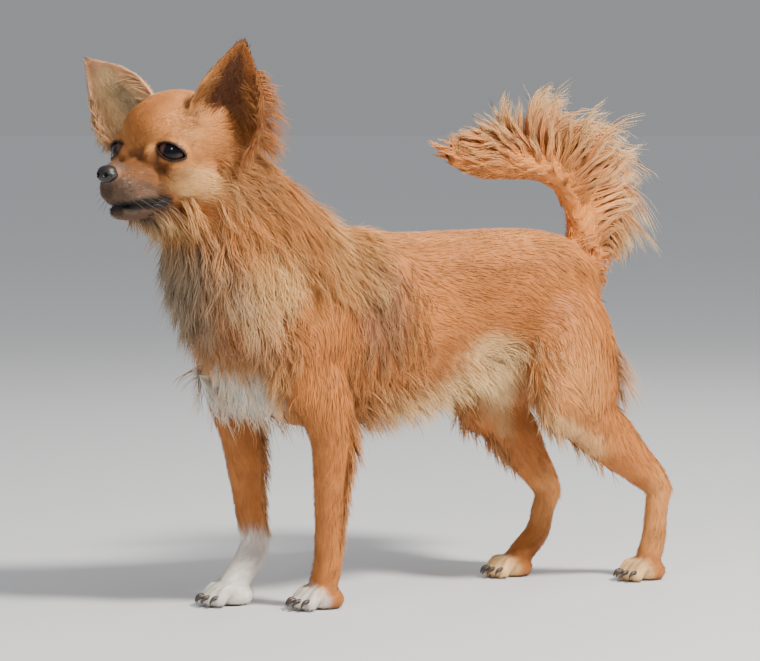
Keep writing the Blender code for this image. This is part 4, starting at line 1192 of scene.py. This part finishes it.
def long_coat(
    name, density, hairs_each, most, length, width, lift, way, tip, tip_share, points=5, tight=0.75, bend=0.5,
    towards=DOWN, swing=0.2, rise=2.0, shag=0.08, flats=None, stand=None, soft=1.0, wave=0.035, fade=1.6,
    spread=(0.8, 1.12), round_back=0.0,
):
    """Locks of long hair: guides are combed first, and the hairs round each one gather towards its tip.

    Each value is one for the whole coat or a field over the skin: density by the square millimetre, length and
    width in millimetres, lift in radians. No more hairs than most grow, so many to each guide."""
    guide = Roots(density, most // hairs_each)
    reach = guide.at(length) * draw.uniform(*spread, guide.count)
    upright = None if stand is None else unit(guide.at(stand))
    lines = combed(
        guide, reach, guide.at(lift), points, swing, rise, guide.at(bend), guide.at(towards), guide.at(way),
        upright,
    )
    shares = np.linspace(0, 1, points)
    ripple = shares[None] * draw.uniform(5, 8, (guide.count, 1)) + draw.random((guide.count, 1)) * 6.3
    ripple = np.sin(ripple) * shares[None]
    sideways = unit(np.cross(unit(np.gradient(lines, axis=1)), guide.normal[:, None, :]))
    lines = lines + sideways * (ripple * (wave * reach)[:, None])[:, :, None]

    hair = Roots(density, most)
    nearest = np.empty(hair.count, int)
    for start in range(0, hair.count, BLEND_BLOCK):
        block = hair.point[start:start + BLEND_BLOCK]
        gaps = np.linalg.norm(block[:, None] - guide.point[None], axis=2)
        nearest[start:start + BLEND_BLOCK] = gaps.argmin(1)
    leader = lines[nearest]
    own = hair.point - guide.point[nearest]
    gather = (1 - tight * shares**0.8)[None, :, None]
    short = draw.uniform(0.72, 1.06, hair.count)[:, None, None]
    stray = draw.normal(0, 1, (hair.count, 3))[:, None, :] * (shares**1.5)[None, :, None]
    stray = stray * (shag * reach[nearest])[:, None, None]
    path = leader[:, :1] + (leader - leader[:, :1]) * short + own[:, None] * gather + stray
    path[:, 0] = hair.point - hair.normal * ROOT_DEPTH

    shade = uneven(np.ones((guide.count, 3)), 0.10)[nearest]
    colours = uneven(hair.colour * shade, 0.07)
    tips = colours * 1.12
    tones = hair.at(tip) * draw.uniform(0.85, 1.05, (hair.count, 1))
    tips = tips + (tones - tips) * hair.at(tip_share).reshape(-1, 1)
    facing = hair.normal if flats is None else hair.at(flats)
    tufts(
        name, path, facing, hair.at(width), hair.point, colours, tips, long_paint,
        soft=soft, painted_root_shade=0.68, fade=fade, round_back=round_back,
    )


NECK_TOP = np.array((-160.0, -4, 250))
NECK_FOOT = np.array((-104.0, 0, 172))
neck_way = unit(NECK_FOOT - NECK_TOP)
down_neck = (here - NECK_TOP) @ neck_way / np.linalg.norm(NECK_FOOT - NECK_TOP)
beside_neck = here - NECK_TOP - np.outer((here - NECK_TOP) @ neck_way, neck_way)
ahead = 0.5 + 0.5 * unit(beside_neck) @ np.array((neck_way[2], 0, -neck_way[0]))
front = ease(ahead, 0.45, 0.8)
low_end = 0.46 + 0.52 * front
chest = ease(x, -104, -120) * ease(z, 104, 122) * ease(np.abs(y), 34, 24)
mane = ease(ahead, 0.5, 0.3) * ease(x, -48, -66) * ease(z, 172, 190)
ruff = np.maximum(ease(down_neck, low_end + 0.3, low_end), np.maximum(0.8 * chest, mane))
ruff = ruff * (1 - on_head) * (z > 100) * (x < -46)
ruff_way = neck_way * 0.8 + np.outer(0.15 + 0.3 * ahead, (0, 0, -1)) + np.outer(mane, (0.1, 0, -0.1))
ruff_way = ruff_way + np.outer(mane * np.sign(y), (0, 0.55, 0))
throat = ease(ahead, 0.70, 0.86)
ruff_length = (25 + 8 * front + 4 * throat) * (1 - 0.35 * chest) * (1 - 0.3 * ease(down_neck, 0.5, 1.1))
ruff_length = ruff_length * (1 - 0.45 * ease(down_neck, 0.55, 0.75) * (1 - throat) * (1 - mane)) + 7 * mane
ruff_lift = np.radians(13 + 9 * front + 6 * throat)
ruff_cover = 0.74 * ruff
withers = mane * ease(x, -112, -92)
pale_locks = 0.08 + 0.85 * spot(here, (-138, -38, 202), (22, 20, 14), 0.8) + 0.45 * throat + 0.6 * withers
ruff_tip = BLONDE + (ASH * 1.9 - BLONDE) * (throat * ease(z, 140, 165))[:, None]
ruff_looks = dict(
    way=ruff_way, tip=ruff_tip, tip_share=np.minimum(pale_locks, 0.85), bend=0.25 + 0.5 * ahead, rise=2.2,
    soft=0.8, wave=0.10, spread=(0.7, 1.15), round_back=0.35,
)
long_coat("coat_ruff_left", ruff_cover * (y < 0), 10, 7700, ruff_length, 0.5, ruff_lift, **ruff_looks)
long_coat("coat_ruff_right", ruff_cover * (y >= 0), 10, 5300, ruff_length, 0.55, ruff_lift, **ruff_looks)

skull_turn = turn_of(head_axes)
cheek = ease(sx, 22, 32) * ease(sz, 10, -4) * head_share
cheek = np.maximum(cheek, ease(sx, 40, 50) * (1 - on_head * ears_both) * head_share)
long_coat(
    "coat_cheeks", 0.9 * cheek, 8, 3200, 18, 0.42, 0.22, way=skull_turn @ np.array((0.8, 0, -0.5)),
    tip=BLONDE, tip_share=0.2, bend=0.7, rise=3.5, wave=0.1,
)
under_jaw = ease(sx, -8, 0) * ease(sx, 40, 32) * ease(outward[:, 2], -0.3, -0.7) * head_share
under_jaw = under_jaw * (np.abs(sy) < 22) * (lips < 0.3) * (sz < -24)
beard_way = skull_turn @ np.array((1.0, 0, 0)) + np.outer(sy * 0.02, skull_turn @ np.array((0, 1, 0)))
long_coat(
    "coat_beard", 1.0 * under_jaw, 7, 1400, 15 + 11 * ease(sx, -6, 16), 0.5, 0.85, way=beard_way, tip=BLONDE,
    tip_share=0.45, bend=0.8, rise=3.0,
)

long_coat(
    "coat_flanks", 0.30 * flank, 9, 3300, 17, 0.45, 0.13, way=(0.25, 0, -1.0), tip=BLONDE, tip_share=0.25,
    rise=1.2, wave=0.06, spread=(0.7, 1.15),
)
belly = ease(outward[:, 2], -0.25, -0.7) * ease(x, -74, -60) * ease(x, 62, 48) * (z > 96) * (z < 150)
belly_way = np.stack([np.ones(len(here)), 0.25 * np.sign(y), np.zeros(len(here))], 1)
long_coat(
    "coat_belly", 0.34 * belly, 8, 2400, 17, 0.42, 0.7, way=belly_way, tip=CREAM, tip_share=0.6, bend=1.0,
    rise=1.5, tight=0.6, shag=0.12,
)
feather = ease(outward[:, 0], 0.1, 0.6) * ease(z, 34, 46) * ease(z, 118, 104) * (x < -60)
long_coat(
    "coat_feathers", 0.5 * feather, 7, 1500, 9 + 8 * ease(z, 40, 95), 0.5, 0.4, way=DOWN, tip=CREAM,
    tip_share=0.35, bend=0.8, rise=1.2,
)

thigh = ease(x, 46, 56) * ease(z, 84, 100) * ease(z, 176, 160) * (1 - on_tail)
behind = thigh * ease(outward[:, 0], 0.45, 0.8)
before = ease(outward[:, 0], -0.3, -0.7) * ease(z, 156, 142) * ease(z, 62, 78) * (x > 34)
hock_hair = ease(outward[:, 0], 0.3, 0.7) * ease(z, 50, 60) * ease(z, 104, 92) * (x > 80)
tuft_place = spot(here, (110, 0, 132), (16, 60, 16), 0.8)
culotte_looks = dict(tip=CREAM, tip_share=0.5, bend=0.8, rise=1.6, round_back=0.35)
long_coat(
    "coat_culottes", 0.40 * behind, 8, 2400, 13 + 16 * tuft_place, 0.5, 0.3 + 0.5 * tuft_place, way=DOWN,
    **culotte_looks,
)
long_coat("coat_thigh_fronts", 0.42 * before, 8, 2400, 15, 0.55, 0.3, way=(0.8, 0, -0.8), **culotte_looks)
long_coat(
    "coat_hocks", 0.40 * hock_hair, 7, 600, 8, 0.5, 0.3, way=DOWN, tip=CREAM, tip_share=0.3, bend=0.6,
    rise=1.0,
)

# The tail's plume: very long hair that fans out from the outer side of the curl and closes to a point past
# the last bone. It is fox red at the root and blonde at the tips.
# Along the tail: share of its length, the hair's length and the angle it leaves the skin at
PLUME_SHAPE = np.array([
    (0.0, 8, 20),
    (0.16, 10, 30),
    (0.24, 30, 66),
    (0.36, 60, 88),
    (0.5, 60, 92),
    (0.64, 48, 68),
    (0.78, 27, 20),
    (1.0, 22, 9),
])
PLUME_TIP = (1.0, 0.74, 0.38)
CURL_MIDDLE = np.array((62.0, 0, 205))
BONE_POINTS = 80
bones = spline([(bone_x, 0, bone_z) for bone_x, bone_z, _, _ in TAIL], BONE_POINTS)
bone_ways = unit(np.gradient(bones, axis=0))
tail_share = np.zeros(len(here))
tail_along = np.tile((1.0, 0, 0), (len(here), 1))
tail_out = np.tile((0, 0, 1.0), (len(here), 1))
which = np.nonzero(on_tail > 0.02)[0]
gaps = np.linalg.norm(here[which][:, None] - bones[None], axis=2).argmin(1)
tail_share[which] = gaps / (BONE_POINTS - 1)
tail_along[which] = bone_ways[gaps]
away = bones[gaps] - CURL_MIDDLE
tail_out[which] = unit(away - bone_ways[gaps] * (away * bone_ways[gaps]).sum(1)[:, None])
outside = (outward * tail_out).sum(1)
edge_on = ease(outside, 0.1, 0.6)
flat_on = 1 - edge_on
at_root = ease(tail_share, 0.35, 0.15)
beside = ease(outside - 0.6 * at_root, -0.75, -0.2)
fan = np.radians(np.interp(tail_share, PLUME_SHAPE[:, 0], PLUME_SHAPE[:, 2]))
turn_back = ease(tail_share, 0.86, 0.66) * beside * (0.45 + 0.55 * edge_on)
plume_length = np.interp(tail_share, PLUME_SHAPE[:, 0], PLUME_SHAPE[:, 1])
plume_length = 7 + (plume_length - 7) * (0.72 * beside + 0.28 * edge_on)
plume_way = tail_along * np.cos(fan)[:, None] + tail_out * (np.sin(fan) * flat_on * beside)[:, None]
plume_way = tail_along * edge_on[:, None] + plume_way * flat_on[:, None]
plume_cover = on_tail * 0.95 * (0.3 * (1 - at_root) + (0.7 + 0.3 * at_root) * beside)
plume_cover = plume_cover * ~((x < 101) & (z < 224))
plume_lift = (fan * edge_on + 0.16 * flat_on) * (1 - 0.28 * turn_back)
plume_pull = tail_along * (0.6 - 1.4 * turn_back)[:, None] + np.outer(0.35 * turn_back * edge_on, (0, 0, -1))
plume_flats = np.outer(np.where(y < 0, -1.0, 1.0), (0, 1.0, 0)) + 0.25 * tail_out
plume_stand = unit(tail_out * edge_on[:, None] + outward * flat_on[:, None])
long_coat(
    "coat_plume", plume_cover, 18, 7100, plume_length, 0.55, plume_lift, points=6, tight=0.9, tip=PLUME_TIP,
    tip_share=0.15 + 0.75 * ease(plume_length, 16, 34), bend=0.5 + 2.1 * turn_back, towards=plume_pull,
    way=plume_way, swing=0.1, rise=0.8, shag=0.025, flats=plume_flats, stand=plume_stand, wave=0.07, fade=2.4,
    spread=(0.6, 1.14), round_back=0.6,
)

# The ears' fringes: fine hair that hangs back from the rear edge of each ear, with short wisps in its
# mouth. The left ear's is the fuller one.
FRINGES = {
    "left": dict(side=-1, rear=12, ahead=9, length=27, most=1500, tip=TAN * 1.2, wisp_tip=TAN),
    "right": dict(side=1, rear=0, ahead=3, length=12, most=600, tip=BLONDE, wisp_tip=CREAM),
}
for name, fringe in FRINGES.items():
    side = fringe["side"]
    ear_turn = turn_of(ear_frame(side))
    rim, inner = (np.array([tuple(point) for point in ear_lines[side][fringe[k]]]) for k in ("rear", "ahead"))
    gaps = np.linalg.norm(here[:, None] - rim[None, 1:12], axis=2)
    nearest = gaps.argmin(1)
    share = (nearest + 1) / (POINTS_ALONG - 1)
    low_down = ease(share, 0.55, 0.15)[:, None]
    ways = unit(rim - inner)[1:12][nearest] + np.array((0.5, 0, 0.1)) - low_down * np.array((-0.2, 0, 0.9))
    long_coat(
        "ear_fringe_" + name, 3.2 * (ease(gaps.min(1), 5.0, 2.5) * on_ear[side]), 7, fringe["most"],
        fringe["length"] * (1 - 0.72 * share), 0.42, 0.1, way=unit(ways), tip=fringe["tip"], tip_share=0.6,
        stand=unit(outward * 0.3 + ways * 0.5), bend=0.8, swing=0.35, rise=0.5, tight=0.7, shag=0.12,
        wave=0.07,
    )
    mouth = on_ear[side] * ease(ear_u, 0.62, 0.45) * ease(np.abs(ear_v), 0.45, 0.8)
    cupped = ear_turn[:, 1] @ outward.T
    across = np.outer(-np.sign(ear_v), ear_turn[:, 0])
    long_coat(
        "ear_wisps_" + name, 0.5 * mouth * ease(cupped, 0.1, 0.5), 5, 400, 13, 0.32, 0.4,
        way=across * 0.6 + ear_turn @ np.array((0, 0.1, 0.9)), towards=across * 0.8, swing=0.3,
        tip=fringe["wisp_tip"], tip_share=0.75, rise=1.2, tight=0.7, shag=0.1,
    )

# The whiskers: stiff dark hairs in four rows on each pad and a few over each eye. Each is rooted where a
# line drawn in from outside the head meets the skin, and it droops a little.
WHISKER_WIDTH = 0.28
WHISKER_TONE = (0.10, 0.07, 0.055)
WHISKER_ROOT = 0.6
WHISKER_POINTS = 6
FROM_OUTSIDE = 40
DROOP = 0.09
PAD_ROWS, PAD_PLACES = 4, 3
BROW_REACH = 9
whiskers = []
for side in (-1, 1):
    for row in range(PAD_ROWS):
        for place in range(PAD_PLACES):
            start = Vector((-20 + 4.5 * place, side * 12, -18 - 2.6 * row))
            way = Vector((0.35 + 0.2 * place, side * 0.9, -0.1 - 0.12 * row))
            middle, aim = Vector((start.x, start.y * 0.2, start.z)), Vector((0, side, 0))
            whiskers.append((middle, head_axes.to_3x3() @ aim, way, 13 + 3.5 * place))
    for place in range(3):
        start, way = Vector((10 + 4 * place, side * 16, 0)), Vector((0.3, side * 0.5, 0.8))
        whiskers.append((start, Vector((0, 0, 1)), way, BROW_REACH))
whisker_lines = []
for middle, aim, way, reach in whiskers:
    root = skin_tree.ray_cast(HEAD_PLACE + head_axes @ middle + aim * FROM_OUTSIDE, -aim)[0]
    drawn = (head_axes.to_3x3() @ way).normalized()
    line = []
    for k in range(WHISKER_POINTS):
        out = reach * k / (WHISKER_POINTS - 1) - WHISKER_ROOT
        line.append(root + drawn * out + Vector((0, 0, -DROOP * k * k)))
    whisker_lines.append(line)
whisker_lines = np.array(whisker_lines)
whisker_tones = np.tile(WHISKER_TONE, (len(whisker_lines), 1))
whisker_flats = np.tile((0, 0, 1.0), (len(whisker_lines), 1))
tufts("whiskers", whisker_lines, whisker_flats, WHISKER_WIDTH, whisker_lines[:, 0], whisker_tones,
      whisker_tones * 2, long_paint, keel=0.5, soft=1.0)

# The eyes: wet dark globes, almost black, with a thin brown ring and a pinkish inner corner. Each sits in
# its socket behind the lids.
PUPIL = np.array((0.003, 0.003, 0.005))
IRIS = np.array((0.026, 0.011, 0.006))
INNER_CORNER = np.array((0.13, 0.060, 0.050))
LOOK_OUT, LOOK_UP = math.radians(33), math.radians(11)
wet = {
    "Roughness": 0.12, "Specular IOR Level": 0.1, "Coat Weight": 1.0, "Coat Roughness": 0.03, "Coat IOR": 1.3,
}
gloss, gloss_shader, nodes, links = new_paint("eye_wet", wet)
eye_own = nodes.new("ShaderNodeAttribute")
eye_own.attribute_name = "coat_colour"
links.new(eye_own.outputs["Color"], gloss_shader.inputs["Base Color"])
for side, name in ((-1, "left"), (1, "right")):
    globe = bmesh.new()
    ball(globe, (0, 0, 0), [EYE_RADIUS] * 3, HEAD @ eye_frame(side), subdivisions=6)
    eyeball = object_of("globe_" + name, globe)
    seen = to_skull(to_design(read_points(eyeball.data))) - np.array((EYE_PLACE.x, side * EYE_PLACE.y, 0))
    level = math.cos(LOOK_UP)
    looking = np.array((-math.cos(LOOK_OUT) * level, side * math.sin(LOOK_OUT) * level, math.sin(LOOK_UP)))
    turned = np.degrees(np.arccos(np.clip(unit(seen) @ looking, -1, 1)))
    across = seen @ turn_of(eye_frame(side)) @ np.array((0, side, 0))
    tone = PUPIL + (IRIS - PUPIL) * (ease(turned, 25, 32) * ease(turned, 47, 40))[:, None]
    tone = tone + (INNER_CORNER - tone) * ease(across, -2.9, -4.4)[:, None]
    colour_of(eyeball.data, tone)
    smooth_shaded(eyeball)
    eyeball.data.materials.append(gloss)
    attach(eyeball, "root")
    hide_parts("eye_" + name)

# The nose: black pebbled leather with comma nostrils and a fine groove between them. It is one soft boxy
# form at the muzzle's tip, and the nostrils are cut into it.
NOSE_RADII = (5.2, 5.8, 4.8)
NOSE_BOXINESS = 0.86
# Cuts in the nose: stations from its middle on the right side, and their half widths
NOSTRIL = [(-7.5, 2.0, -0.4, 1.3, 1.3), (-4.2, 2.9, -0.3, 1.3, 1.4), (-1.8, 3.9, 0.3, 0.8, 0.8)]
SLIT = [(-5.5, 3.4, -0.6, 0.5, 0.5), (-3.4, 5.0, -0.9, 0.45, 0.5), (-0.5, 6.6, -0.5, 0.3, 0.3)]
GROOVE = [(-6.2, 0, 1.5, 0.3, 0.5), (-5.6, 0, -2.5, 0.45, 0.6), (-3.0, 0, -5.4, 0.3, 0.5)]
PEBBLE_RELIEF = 0.0003


def speckled(name, pattern, scale, tones, roughness, relief=0.0):
    """Leather or horn: a fine pattern runs between two tones, and stands out by its relief."""
    paint, shader, nodes, links = new_paint(name, {"Roughness": roughness})
    place, specks, tone = (nodes.new(kind) for kind in ("ShaderNodeTexCoord", pattern, "ShaderNodeValToRGB"))
    specks.inputs["Scale"].default_value = scale
    for stop, colour in zip(tone.color_ramp.elements, tones):
        stop.color = (*colour, 1)
    join(
        links,
        (place.outputs["Object"], specks.inputs["Vector"]),
        (specks.outputs[0], tone.inputs["Fac"]),
        (tone.outputs["Color"], shader.inputs["Base Color"]),
    )
    if relief:
        bump = nodes.new("ShaderNodeBump")
        bump.invert = True
        set_sockets(bump, {"Strength": relief, "Distance": PEBBLE_RELIEF})
        join(
            links,
            (specks.outputs[0], bump.inputs["Height"]),
            (bump.outputs["Normal"], shader.inputs["Normal"]),
        )
    return paint


leather = bmesh.new()
bmesh.ops.create_icosphere(leather, subdivisions=5, radius=1)
for vert in leather.verts:
    boxy = Vector([math.copysign(abs(c) ** NOSE_BOXINESS, c) for c in vert.co])
    wings = 1 + 0.12 * math.exp(-((boxy.z + 0.25) / 0.35) ** 2)
    vert.co = (boxy.x * NOSE_RADII[0], boxy.y * NOSE_RADII[1] * wings, boxy.z * NOSE_RADII[2])
bmesh.ops.transform(leather, matrix=HEAD @ Matrix.Translation(NOSE_PLACE), verts=leather.verts[:])
muzzle_tip = object_of("muzzle_tip", leather)
nose_x, _, nose_z = NOSE_PLACE
for side, cut, sides in ((-1, NOSTRIL, 20), (-1, SLIT, 14), (1, NOSTRIL, 20), (1, SLIT, 14), (1, GROOVE, 12)):
    hole = bmesh.new()
    stations = [(nose_x + cx, side * cy, nose_z + cz, across, deep) for cx, cy, cz, across, deep in cut]
    tube(hole, stations, rings=12, sides=sides, place=HEAD)
    cut_away(muzzle_tip, object_of("hole", hole))
smooth_shaded(muzzle_tip)
muzzle_tip.data.materials.clear()
leather_tones = ((0.030, 0.024, 0.022), (0.010, 0.008, 0.008))
nose_leather = speckled("nose_leather", "ShaderNodeTexVoronoi", 1400, leather_tones, 0.38, relief=0.5)
muzzle_tip.data.materials.append(nose_leather)
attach(muzzle_tip, "root")
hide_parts("nose")

# The claws: sixteen short curved horns, dark and finely mottled with a paler tone. One grows from the
# end of each toe and bends down to the floor.
CLAW_RADIUS = 1.3
CLAW_HEIGHT = 5.2
# From the toe's front: steps back and up, and the half width there
CLAW_LINE = [(3, 0.8, CLAW_RADIUS), (-1, 0.6, CLAW_RADIUS), (-3.2, -0.9, 0.75), (-3.8, -2.8, 0.3)]
horns = bmesh.new()
claw_nodes = []
for group, leg_set in (("foreleg", FORELEGS), ("hindfoot", HINDLEGS)):
    size = FOOT_SIZES[group]
    for side, name in ((-1, "left"), (1, "right")):
        foot_x, foot_y, _ = leg_set[side]["paw"]
        for number, (row, reach) in enumerate(TOES, 1):
            claw_x = foot_x - reach * TOE_REACH * size - 3.2 * size
            claw_y = foot_y + row * TOE_PITCH * size
            claw = [(claw_x + out, claw_y, CLAW_HEIGHT + up, radius, radius) for out, up, radius in CLAW_LINE]
            tube(horns, claw, rings=16, sides=16)
            claw_nodes.append("claw_%s_%s_%d" % (group, name, number))
claws = object_of("claws", horns)
smooth_shaded(claws)
horn_tones = ((0.035, 0.026, 0.022), (0.075, 0.055, 0.045))
claws.data.materials.append(speckled("claw_horn", "ShaderNodeTexNoise", 700, horn_tones, 0.35))
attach(claws, "root")
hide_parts(*claw_nodes)
